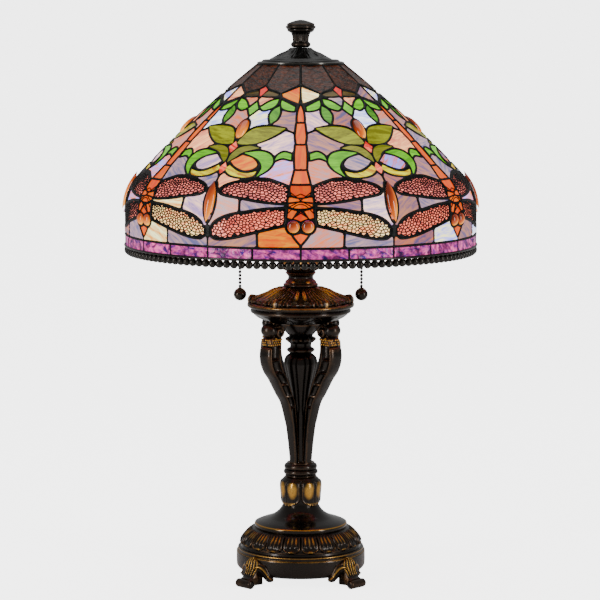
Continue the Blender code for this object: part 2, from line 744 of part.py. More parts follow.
def make_socket(name, side, brass, nickel):
    low = socket_foot
    high = low + SOCKET_HEIGHT
    outer = SOCKET_RADIUS
    inner = outer - SOCKET_WALL
    floor = low + SOCKET_FLOOR
    shell_section = [
        (0.0, low), (outer - 7.0, low), (outer, low + 7.0), (outer, high), (inner, high), (inner, floor), (0.0, floor),
    ]
    axis = (side * SOCKET_SPREAD, 0.0, 0.0)
    turned("socket_shell_" + name, shell_section, 18, brass, closed=False, origin=axis)
    liner_outer = inner - TOUCH_GAP
    liner_inner = liner_outer - LINER_WALL
    liner = [
        (liner_outer, floor + TOUCH_GAP), (liner_outer, high - 1.0), (liner_inner, high - 1.0),
        (liner_inner, floor + TOUCH_GAP),
    ]
    turned("screw_shell_" + name, liner, 18, nickel, origin=axis)
    return liner_inner


def make_bulb(name, side, liner_inner, nickel, frosted):
    """A bulb in two pieces: the screw base and the glass above it."""
    base_low = socket_foot + SOCKET_FLOOR + 2.0
    neck = socket_foot + SOCKET_HEIGHT + 1.0
    thread = liner_inner - SCREW_GAP
    origin = (side * SOCKET_SPREAD, 0.0, neck)
    base = [
        (0.0, base_low - neck), (4.0, base_low - neck), (thread, base_low - neck + 5.0), (thread, 0.0), (0.0, 0.0),
    ]
    turned("bulb_base_" + name, base, 16, nickel, closed=False, origin=origin)
    widest = BULB_LENGTH - BULB_RADIUS
    glass = [(0.0, TOUCH_GAP), (thread, TOUCH_GAP), (thread + 1.0, 8.0)]
    glass += [(blended(thread, BULB_RADIUS, 0.55), widest * 0.5), (BULB_RADIUS - 2.0, widest * 0.8)]
    for degrees in (0.0, 30.0, 60.0, 90.0):
        angle = math.radians(degrees)
        glass.append((BULB_RADIUS * math.cos(angle), widest + BULB_RADIUS * math.sin(angle)))
    turned("bulb_glass_" + name, glass, 16, frosted, closed=False, origin=origin)


def make_pull(name, side, brass, bronze):
    """A guide on the socket's side, the switch link that slides in it, and the chain and ball below."""
    guide_low = socket_foot + GUIDE_LIFT
    guide_high = guide_low + GUIDE_HEIGHT
    bore = LINK_RADIUS + TOUCH_GAP
    ring = [(bore, guide_low), (GUIDE_RADIUS, guide_low), (GUIDE_RADIUS, guide_high), (bore, guide_high)]
    bm = bmesh.new()
    spun(bm, ring, 12)
    guide = placed("pull_guide_" + name, bm, brass, origin=(side * CHAIN_SPREAD, 0.0, 0.0))
    socket_face = SOCKET_SPREAD + SOCKET_RADIUS + TOUCH_GAP
    bar = bmesh.new()
    near = (socket_face - CHAIN_SPREAD) * side
    far = -(bore + GUIDE_RADIUS) / 2.0 * side
    outline = [(near, -2.4), (far, -2.4), (far, 2.4), (near, 2.4)]
    prism(bar, outline, guide_low + 2.0, guide_high - 2.0)
    joined(guide, placed("guide_bar_" + name, bar, brass, origin=(side * CHAIN_SPREAD, 0.0, 0.0)))
    link_high = guide_high + LINK_TRAVEL
    link = [(0.0, link_high - guide_low), (LINK_RADIUS, link_high - guide_low), (LINK_RADIUS, -TOUCH_GAP)]
    link += [(LINK_KNOB, -LINK_KNOB), (LINK_RADIUS, -LINK_KNOB * 2.0), (0.0, -LINK_KNOB * 2.0)]
    turned("pull_link_" + name, link, 12, brass, closed=False, origin=(side * CHAIN_SPREAD, 0.0, guide_low))
    swing = guide_low - LINK_KNOB * 2.0 - TOUCH_GAP
    chain = [(0.0, 0.0), (CHAIN_RADIUS, -CHAIN_RADIUS), (CHAIN_RADIUS, -CHAIN_LENGTH), (0.0, -CHAIN_LENGTH)]
    origin = (side * CHAIN_SPREAD, 0.0, swing)
    turned("pull_chain_" + name, chain, 8, brass, closed=False, origin=origin)
    middle = -CHAIN_LENGTH - TOUCH_GAP - PULL_BALL_RADIUS
    ball = [(PULL_BALL_RADIUS * math.cos(math.radians(a)), middle + PULL_BALL_RADIUS * math.sin(math.radians(a)))
            for a in (90.0, 55.0, 20.0, -20.0, -55.0, -90.0)]
    turned("pull_ball_" + name, ball, 12, bronze, closed=False, origin=origin)


# Shade

def sector_lines(index, margin):
    """Lines across one sixth of the shade, less a margin at each side, as (angle, shift) pairs."""
    start = math.radians(index * 360.0 / SECTOR_COUNT)
    end = start + FULL_TURN / SECTOR_COUNT
    shares = [step / SECTOR_STEPS for step in range(SECTOR_STEPS + 1)]
    return [(blended(start, end, share), blended(margin, -margin, share)) for share in shares]


def round_lines():
    """Lines all the way round."""
    count = SECTOR_COUNT * SECTOR_STEPS
    return [(FULL_TURN * step / count, 0.0) for step in range(count)]


def rim_start():
    return shade_length - RIM_BAND


def make_shade_glass(crown, body, rim):
    lead_half = LEAD_WIDTH / 2.0
    glass_depth = (LEAD_THICKNESS - GLASS_THICKNESS) / 2.0
    crown_span = (LEAD_WIDTH + TOUCH_GAP, CROWN_LENGTH - TOUCH_GAP)
    body_span = (CROWN_LENGTH + LEAD_WIDTH + TOUCH_GAP, rim_start() - lead_half - TOUCH_GAP)
    for kind, material, span in (("crown_glass_", crown, crown_span), ("body_glass_", body, body_span)):
        stops = [span[0], blended(*span, 0.5), span[1]] if kind == "crown_glass_" else section_stops(*span)
        for index in range(SECTOR_COUNT):
            bm = bmesh.new()
            lines = sector_lines(index, lead_half + TOUCH_GAP)
            shell(bm, lines, stops, lambda c, r: True, glass_depth, GLASS_THICKNESS)
            placed(kind + str(index + 1), bm, material)
    bm = bmesh.new()
    stops = [rim_start() + lead_half + TOUCH_GAP, shade_length - lead_half - TOUCH_GAP]
    shell(bm, round_lines(), stops, lambda c, r: True, glass_depth, GLASS_THICKNESS, around=True)
    placed("rim_glass", bm, rim)


def make_lead_frame(lead):
    """The soldered frame: rings at the top, under the crown and round the rim, joined by six ribs."""
    lead_half = LEAD_WIDTH / 2.0
    body_end = rim_start() - lead_half
    body_stops = section_stops(CROWN_LENGTH + LEAD_WIDTH, body_end)
    stops = [0.0, LEAD_WIDTH, CROWN_LENGTH] + body_stops + [rim_start() + lead_half]
    ring_rows = {0, 2, len(stops) - 2}
    lines = []
    for sector in range(SECTOR_COUNT):
        across = sector_lines(sector, lead_half)
        lines += [(across[0][0], -lead_half)] + across[:-1]
    per_sector = SECTOR_STEPS + 1

    def kept(column, row):
        return row in ring_rows or column % per_sector == 0

    bm = bmesh.new()
    shell(bm, lines, stops, kept, 0.0, LEAD_THICKNESS, around=True)
    placed("lead_frame", bm, lead)


def make_fringe(lead):
    """The lower lead ring and the row of beads soldered under it, as one ring."""
    outer = SHADE_RADIUS + 0.8
    beads_top = SHADE_RIM_HEIGHT
    ring_top_edge = SHADE_RIM_HEIGHT + LEAD_WIDTH / 2.0
    section = [
        (outer - BEAD_RADIUS * 2.0, beads_top - FRINGE_DROP),
        (outer, beads_top - FRINGE_DROP),
        (outer, beads_top),
        (SHADE_RADIUS, beads_top + 0.4),
        (SHADE_RADIUS, ring_top_edge),
        (SHADE_RADIUS - LEAD_THICKNESS, ring_top_edge),
        (SHADE_RADIUS - LEAD_THICKNESS, beads_top + 0.4),
        (outer - BEAD_RADIUS * 2.0, beads_top),
    ]
    turned("bead_fringe", section, SECTOR_COUNT * SECTOR_STEPS, lead)


def make_spider(brass):
    """A wheel under the shade's upper edge: hub, rim and three spokes."""
    radii = [pipe_bore, SPIDER_HUB, SPIDER_RADIUS - SPIDER_RING, SPIDER_RADIUS]
    spoke_count = 3
    spoke_half = 3.2 / SPIDER_HUB
    angles = []
    for spoke in range(spoke_count):
        middle = FULL_TURN * spoke / spoke_count + math.pi / 2.0
        following = FULL_TURN / spoke_count
        angles.append(middle - spoke_half)
        angles += [blended(middle + spoke_half, middle + following - spoke_half, step / 7.0) for step in range(7)]
    bm = bmesh.new()
    corners = {}

    def corner(column, row, level):
        key = (column % len(angles), row, level)
        if key not in corners:
            angle = angles[key[0]]
            radius = radii[row]
            height = spider_top - SPIDER_THICKNESS * level
            corners[key] = bm.verts.new((radius * math.cos(angle), radius * math.sin(angle), height))
        return corners[key]

    cells = {(c, r) for c in range(len(angles)) for r in range(3) if r != 1 or c % 8 == 0}
    for column, row in cells:
        ring = ((column, row), (column, row + 1), (column + 1, row + 1), (column + 1, row))
        for level in (0, 1):
            bm.faces.new([corner(c, r, level) for c, r in ring])
        sides = (
            (((column - 1) % len(angles), row), ring[0], ring[1]),
            ((column, row + 1), ring[1], ring[2]),
            (((column + 1) % len(angles), row), ring[2], ring[3]),
            ((column, row - 1), ring[3], ring[0]),
        )
        for neighbour, start, end in sides:
            if neighbour not in cells:
                bm.faces.new((corner(*start, 0), corner(*end, 0), corner(*end, 1), corner(*start, 1)))
    placed("shade_spider", bm, brass)
    make_hex_nut("spider_nut", spider_top - SPIDER_THICKNESS - TOUCH_GAP - NUT_HEIGHT, brass)


def make_cap(bronze):
    rim = CAP_RADIUS
    foot = cap_foot
    section = [
        (rim, foot), (rim, foot + 1.8), (rim - 4.0, foot + 2.4), (rim - 7.4, foot + 4.2), (rim - 10.4, foot + 5.4),
        (rim - 16.0, foot + 7.4), (rim - 22.0, foot + 9.8), (rim - 32.0, foot + 14.4), (rim - 39.0, cap_top),
        (pipe_bore, cap_top), (pipe_bore, cap_top - 2.0), (rim - 40.6, cap_top - 2.2), (rim - 23.0, foot + 7.8),
        (rim - 12.0, foot + 3.0), (rim - 6.0, foot + 1.2), (rim - 1.4, foot + 1.2),
    ]
    turned("shade_cap", section, 32, bronze)


def make_finial(bronze):
    """A fluted knob under a low roof, bored from below for the pipe's end."""
    foot = finial_foot
    neck = FINIAL_NECK
    top = foot + FINIAL_HEIGHT
    wide = FINIAL_RADIUS
    bore = PIPE_RADIUS + SCREW_GAP
    section = [
        (0.0, top), (4.0, top - 0.4), (wide - 2.6, top - 4.1), (wide - 2.0, top - 5.3), (wide, top - 8.5),
        (wide - 1.9, top - 11.1), (wide - 3.0, top - 12.1), (neck + 1.0, top - 17.5), (neck, foot + 7.0),
        (neck + 2.2, foot + 5.0), (neck + 2.2, foot + 2.6), (neck, foot), (bore, foot),
        (bore, pipe_top + 1.0), (0.0, pipe_top + 1.0),
    ]
    turned("finial", section, 20, bronze, closed=False)


def main():
    clear_scene()
    bronze = finish("bronze", (0.05, 0.035, 0.025), 0.8, 0.35)
    brass = finish("brass", (0.55, 0.38, 0.14), 1.0, 0.3)
    nickel = finish("nickel", (0.6, 0.58, 0.54), 1.0, 0.25)
    steel = finish("steel", (0.4, 0.4, 0.4), 1.0, 0.4)
    lead = finish("lead", (0.1, 0.1, 0.1), 0.9, 0.45)
    felt = finish("felt", (0.02, 0.02, 0.02), 0.0, 0.95)
    rubber = finish("rubber", (0.02, 0.02, 0.02), 0.0, 0.7)
    frosted = finish("frosted_glass", (0.95, 0.92, 0.85), 0.0, 0.4)
    crown = finish("ripple_glass", (0.1, 0.05, 0.03), 0.0, 0.2)
    body = finish("opal_glass", (0.8, 0.55, 0.35), 0.0, 0.2)
    rim = finish("rim_glass", (0.35, 0.15, 0.4), 0.0, 0.2)
    make_base(bronze, felt, rubber)
    make_pipe(steel)
    make_feet(bronze)
    make_bell_neck(bronze)
    make_petal_collar(bronze)
    make_ring_moulding(bronze)
    make_arms(bronze)
    make_baluster(bronze)
    make_capital(bronze)
    make_dome(bronze)
    make_neck(bronze)
    make_cup(bronze)
    make_cluster(brass)
    for name, side in (("left", -1.0), ("right", 1.0)):
        make_socket_arm("socket_arm_" + name, side, brass)
        liner_inner = make_socket(name, side, brass, nickel)
        make_bulb(name, side, liner_inner, nickel, frosted)
        make_pull(name, side, brass, bronze)
    make_shade_glass(crown, body, rim)
    make_lead_frame(lead)
    make_fringe(lead)
    make_spider(brass)
    make_cap(bronze)
    make_finial(bronze)


main()
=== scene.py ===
import bpy
import bmesh
import math
import random
import numpy as np
from mathutils import Vector, Matrix
from mathutils.geometry import delaunay_2d_cdt


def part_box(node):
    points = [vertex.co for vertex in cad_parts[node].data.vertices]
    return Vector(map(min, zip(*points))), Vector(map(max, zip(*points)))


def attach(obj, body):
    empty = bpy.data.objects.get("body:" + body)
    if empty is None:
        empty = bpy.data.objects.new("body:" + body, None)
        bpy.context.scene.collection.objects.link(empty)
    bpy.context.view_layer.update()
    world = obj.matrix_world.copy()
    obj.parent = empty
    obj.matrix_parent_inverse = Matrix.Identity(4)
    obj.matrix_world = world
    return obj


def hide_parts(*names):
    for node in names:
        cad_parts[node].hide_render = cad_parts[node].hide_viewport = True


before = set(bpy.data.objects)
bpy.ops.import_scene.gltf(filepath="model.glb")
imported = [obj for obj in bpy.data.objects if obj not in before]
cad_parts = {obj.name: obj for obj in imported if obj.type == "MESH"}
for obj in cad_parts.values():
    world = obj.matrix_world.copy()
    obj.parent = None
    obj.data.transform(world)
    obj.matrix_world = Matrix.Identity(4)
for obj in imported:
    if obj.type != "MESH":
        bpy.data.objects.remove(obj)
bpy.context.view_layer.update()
mm = 0.001


stage = {
    "cameraPlace": (0.0, -2.9167, 0.6764),
    "cameraPitch": 83.335,
    "lens": 147.4,
    "shiftX": -0.0012,
    "floorSize": 90.0,
    "worldLevel": 0.34,
    "backLevel": 4.2,
    "floorGlow": 3.9,
    "lamps": {     # place, what it faces, width and height, power
        "keyLeft": ((-2.0, -1.5, 0.9), (0.0, 0.0, 0.35), (0.45, 2.0), 34.0),
        "keyRight": ((2.0, -1.4, 0.8), (0.0, 0.0, 0.3), (0.4, 2.0), 30.0),
        "overhead": ((0.0, 0.3, 2.6), (0.0, 0.0, 0.3), (2.2, 2.2), 20.0),
    },
}


def softbox(name, place, target, size, power):
    data = bpy.data.lights.new(name, "AREA")
    data.shape = "RECTANGLE"
    data.size, data.size_y = size
    data.energy = power
    lamp = bpy.data.objects.new(name, data)
    lamp.location = place
    lamp.rotation_euler = (Vector(target) - Vector(place)).to_track_quat("-Z", "Y").to_euler()
    lamp.visible_camera = False
    bpy.context.scene.collection.objects.link(lamp)


def buildStage():
    camera = bpy.data.objects.new("camera", bpy.data.cameras.new("camera"))
    camera.location = stage["cameraPlace"]
    camera.rotation_euler = (math.radians(stage["cameraPitch"]), 0.0, 0.0)
    camera.data.sensor_width = 36.0
    camera.data.lens = stage["lens"]
    camera.data.shift_x = stage["shiftX"]
    camera.data.clip_end = 120.0
    bpy.context.scene.collection.objects.link(camera)
    bpy.context.scene.camera = camera
    for name, lamp in stage["lamps"].items():
        softbox(name, *lamp)
    world = bpy.data.worlds.new("studio")
    world.use_nodes = True
    back = world.node_tree.nodes["Background"]
    seen = world.node_tree.nodes.new("ShaderNodeLightPath").outputs["Is Camera Ray"]
    level = world.node_tree.nodes.new("ShaderNodeMapRange")
    level.inputs["To Min"].default_value = stage["worldLevel"]
    level.inputs["To Max"].default_value = stage["backLevel"]
    world.node_tree.links.new(seen, level.inputs["Value"])
    world.node_tree.links.new(level.outputs["Result"], back.inputs["Strength"])
    back.inputs["Color"].default_value = (1.0, 1.0, 1.0, 1.0)
    bpy.context.scene.world = world
    bm = bmesh.new()
    bmesh.ops.create_grid(bm, x_segments=1, y_segments=1, size=stage["floorSize"] / 2.0)
    floor = newObject("floor", bm)
    floor.data.materials.append(paperFloor())


class Wire:
    # a shader socket that takes part in ordinary sums
    def __init__(self, finish, socket):
        self.finish, self.socket = finish, socket

    def sum(self, operation, first, second):
        return self.finish.node("ShaderNodeMath", {"operation": operation}, {0: first, 1: second})

    def __add__(self, other):
        return self.sum("ADD", self, other)

    def __radd__(self, other):
        return self.sum("ADD", other, self)

    def __sub__(self, other):
        return self.sum("SUBTRACT", self, other)

    def __rsub__(self, other):
        return self.sum("SUBTRACT", other, self)

    def __mul__(self, other):
        return self.sum("MULTIPLY", self, other)

    def __rmul__(self, other):
        return self.sum("MULTIPLY", other, self)


class Finish:
    # one material, its nodes added by kind
    def __init__(self, name, **fixed):
        self.material = bpy.data.materials.new(name)
        self.material.use_nodes = True
        self.tree = self.material.node_tree
        self.shader = self.tree.nodes["Principled BSDF"]
        for key, value in fixed.items():
            self.shader.inputs[key.replace("_", " ")].default_value = value

    def node(self, kind, settings=None, inputs=None, outlet=0):
        made = self.tree.nodes.new(kind)
        for key, value in (settings or {}).items():
            if key == "stops":
                ramp = made.color_ramp.elements
                while len(ramp) < len(value):
                    ramp.new(0.5)
                for stop, (place, colour) in zip(ramp, value):
                    stop.position = place
                    stop.color = (*colour, 1.0)
            else:
                setattr(made, key, value)
        for key, value in (inputs or {}).items():
            self.feed(made.inputs[key], value)
        return Wire(self, made.outputs[outlet])

    def feed(self, socket, value):
        if isinstance(value, Wire):
            self.tree.links.new(value.socket, socket)
        elif isinstance(value, tuple) and len(value) == 3 and socket.type == "RGBA":
            socket.default_value = (*value, 1.0)
        else:
            socket.default_value = value

    def set(self, **wires):
        for key, value in wires.items():
            self.feed(self.shader.inputs[key.replace("_", " ")], value)
        return self.material

    def place(self):
        return self.node("ShaderNodeTexCoord", outlet="Object")

    def noise(self, where, scale, detail=3.0, rough=0.5, warp=0.0):
        return self.node("ShaderNodeTexNoise", {}, {"Vector": where, "Scale": scale, "Detail": detail,
                                                    "Roughness": rough, "Distortion": warp})

    def mix(self, share, first, second, kind="MIX"):
        return self.node("ShaderNodeMix", {"data_type": "RGBA", "blend_type": kind}, {0: share, 6: first, 7: second},
                         2)

    def span(self, value, low, high, toLow=0.0, toHigh=1.0):
        return self.node("ShaderNodeMapRange", {"clamp": True}, {0: value, 1: low, 2: high, 3: toLow, 4: toHigh})

    def bump(self, height, strength, distance):
        return self.node("ShaderNodeBump", {}, {"Height": height, "Strength": strength, "Distance": distance})

    def attribute(self, name, outlet="Fac"):
        return self.node("ShaderNodeAttribute", {"attribute_name": name}, outlet=outlet)


def tone(red, green, blue):
    # a colour as a painter names it, 0 to 255, made linear
    return tuple(((c / 255.0 + 0.055) / 1.055) ** 2.4 if c > 10 else c / 255.0 / 12.92 for c in (red, green, blue))


filmInset = np.array([[0.842479, 0.0784336, 0.0792237], [0.0423282, 0.8784686, 0.0791661],
                      [0.0423757, 0.0784336, 0.879143]])
filmCurve = (15.5, -40.14, 31.96, -6.868, 0.4298, 0.1191, -0.00232)


def filmed(light):
    # what a filmic view shows of a light, 0 to 1
    stops = (np.log2(np.maximum(filmInset @ light, 1e-9)) + 12.47393) / 16.5
    return np.clip(np.linalg.inv(filmInset) @ np.polyval(filmCurve, np.clip(stops, 0.0, 1.0)), 0.0, 1.0)


def backlit(red, green, blue, glow):
    # the tint whose lit glass is seen as this colour, 0 to 255
    wanted = np.maximum(np.array([red, green, blue]) / 255.0, 0.02)
    light = wanted ** 2.2
    most = 1.25 + 3.2 * (wanted.min() / wanted.max()) ** 2     # a strong colour pales if it is lit too hard
    for _ in range(60):
        light = np.clip(light * (wanted / np.maximum(filmed(light), 0.01)) ** 1.3, 0.0005, most)
    return tuple(float(k) for k in np.clip((light - 0.02) / glow, 0.0, 1.6))


def paperFloor():
    # matt white paper, lit far brighter to the eye than to the lamp, so that it runs into the backdrop
    finish = Finish("paperFloor", Roughness=0.7)
    grain = finish.noise(finish.place(), 3.0)
    finish.set(Base_Color=finish.mix(grain, (0.90, 0.90, 0.90), (0.94, 0.94, 0.94)), Emission_Color=(1.0, 1.0, 1.0))
    seen = finish.node("ShaderNodeLightPath", outlet="Is Camera Ray")
    return finish.set(Emission_Strength=seen * stage["floorGlow"])


def newObject(name, bm, smooth=None):
    mesh = bpy.data.meshes.new(name)
    bm.to_mesh(mesh)
    bm.free()
    made = bpy.data.objects.new(name, mesh)
    bpy.context.scene.collection.objects.link(made)
    if smooth is not None:
        for face in mesh.polygons:
            face.use_smooth = True
        if smooth < 180.0:
            mesh.set_sharp_from_angle(angle=math.radians(smooth))
    return made


def finished(name, bm, finish, body, nodes=(), smooth=None):
    # a piece with its finish, its body, and the CAD nodes that it stands for
    piece = newObject(name, bm, smooth)
    piece.data.materials.append(finishes[finish])
    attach(piece, body)
    if nodes:
        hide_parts(*nodes)
    return piece


def dropLoose(bm):
    bmesh.ops.delete(bm, geom=[v for v in bm.verts if not v.link_faces], context="VERTS")


def nodeBox(name):
    low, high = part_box(name)
    return [v / mm for v in low], [v / mm for v in high]


shadeForm = {
    "topRadius": 50.5,
    "slopeTop": 38.5,         # degrees below level
    "slopeShoulder": 47.0,
    "shoulderRadius": 60.0,
    "straight": 42.5,
    "glassLift": -0.6,        # below the lead's face
    "glassThick": 2.9,
    "beadHigh": 1.3,
    "beadSide": 1.5,
    "glow": {"opal": 1.7, "ripple": 0.5, "rim": 1.5},
}


def shadeSection():
    form = shadeForm
    radius = nodeBox("lead_frame")[1][0]
    top, shoulder = math.radians(form["slopeTop"]), math.radians(form["slopeShoulder"])
    arcStart = radius - form["shoulderRadius"] * (1.0 - math.sin(shoulder))
    arc = (arcStart - form["topRadius"]) / (math.sin(shoulder) - math.sin(top))
    form.update(radius=radius, top=top, shoulder=shoulder, arc=arc, arcLong=arc * (shoulder - top))
    form["bendLong"] = form["shoulderRadius"] * (math.pi / 2.0 - shoulder)
    form["long"] = form["arcLong"] + form["bendLong"] + form["straight"]
    form["rimHeight"] = nodeBox("rim_glass")[0][2] - 2.8
    form["topHeight"] = (form["rimHeight"] + form["straight"] + form["shoulderRadius"] * math.cos(shoulder)
                         + arc * (math.cos(top) - math.cos(shoulder)))


shadeSection()


def sectionAt(along):
    # radius, height and slope of the shade's face, a length down from its upper edge
    form = shadeForm
    if along <= form["arcLong"]:
        slope = form["top"] + along / form["arc"]
        radius = form["topRadius"] + form["arc"] * (math.sin(slope) - math.sin(form["top"]))
        return radius, form["topHeight"] - form["arc"] * (math.cos(form["top"]) - math.cos(slope)), slope
    if along <= form["arcLong"] + form["bendLong"]:
        slope = form["shoulder"] + (along - form["arcLong"]) / form["shoulderRadius"]
        radius = form["radius"] - form["shoulderRadius"] * (1.0 - math.sin(slope))
        return radius, form["rimHeight"] + form["straight"] + form["shoulderRadius"] * math.cos(slope), slope
    return form["radius"], form["rimHeight"] + form["long"] - along, math.pi / 2.0


def onShade(turn, along, lift=0.0):
    # a point on the shade in metres: degrees round from the front, length down, height over the face
    radius, height, slope = sectionAt(along)
    radius, height = radius + lift * math.sin(slope), height + lift * math.cos(slope)
    angle = math.radians(turn)
    return Vector((radius * math.sin(angle), -radius * math.cos(angle), height)) * mm


def spread(turn, along):
    return math.radians(turn) * sectionAt(along)[0]


def between(at, t):
    # on the smooth curve through four points, the share t from the second to the third
    return tuple(0.5 * (2.0 * b + (d - a) * t + (2.0 * a - 5.0 * b + 4.0 * d - e) * t * t
                        + (3.0 * b - a - 3.0 * d + e) * t * t * t) for a, b, d, e in zip(*at))


def smoothRun(points, closed, step):
    # a smooth line through given points, one about every step of true length
    count = len(points)
    out = []
    for i in range(count if closed else count - 1):
        at = [points[(i + k) % count] if closed else points[min(max(i + k, 0), count - 1)] for k in (-1, 0, 1, 2)]
        gap = (onShade(*at[1]) - onShade(*at[2])).length / mm
        pieces = max(1, round(gap / step))
        out += [between(at, n / pieces) for n in range(pieces)]
    if not closed:
        out.append(tuple(points[-1]))
    return out


def outline(points, closed=True, step=1.7):
    # corners carry a third number; between them the line is smooth
    marks = [i for i, point in enumerate(points) if len(point) == 3]
    plain = [point[:2] for point in points]
    if not marks:
        return smoothRun(plain, closed, step)
    if closed:
        plain = plain[marks[0]:] + plain[:marks[0]] + [plain[marks[0]]]
        marks = [m - marks[0] for m in marks] + [len(plain) - 1]
    else:
        marks = sorted({0, len(plain) - 1, *marks})
    out = []
    for first, last in zip(marks, marks[1:]):
        out += smoothRun(plain[first:last + 1], False, step)[:-1]
    return out if closed else out + [plain[-1]]


def oval(turn, along, half, tall, pointed=0.0, start=0.0, end=360.0, count=28):
    # an oval on the shade, its half width and half height in mm
    radius = sectionAt(along)[0]
    out = []
    for i in range(count):
        a = math.radians(start + (end - start) * i / (count if end - start >= 360.0 else count - 1))
        wide = half * math.sin(a) * (abs(math.sin(a)) ** pointed)
        out.append((turn + math.degrees(wide / radius), along - tall * math.cos(a)))
    return out


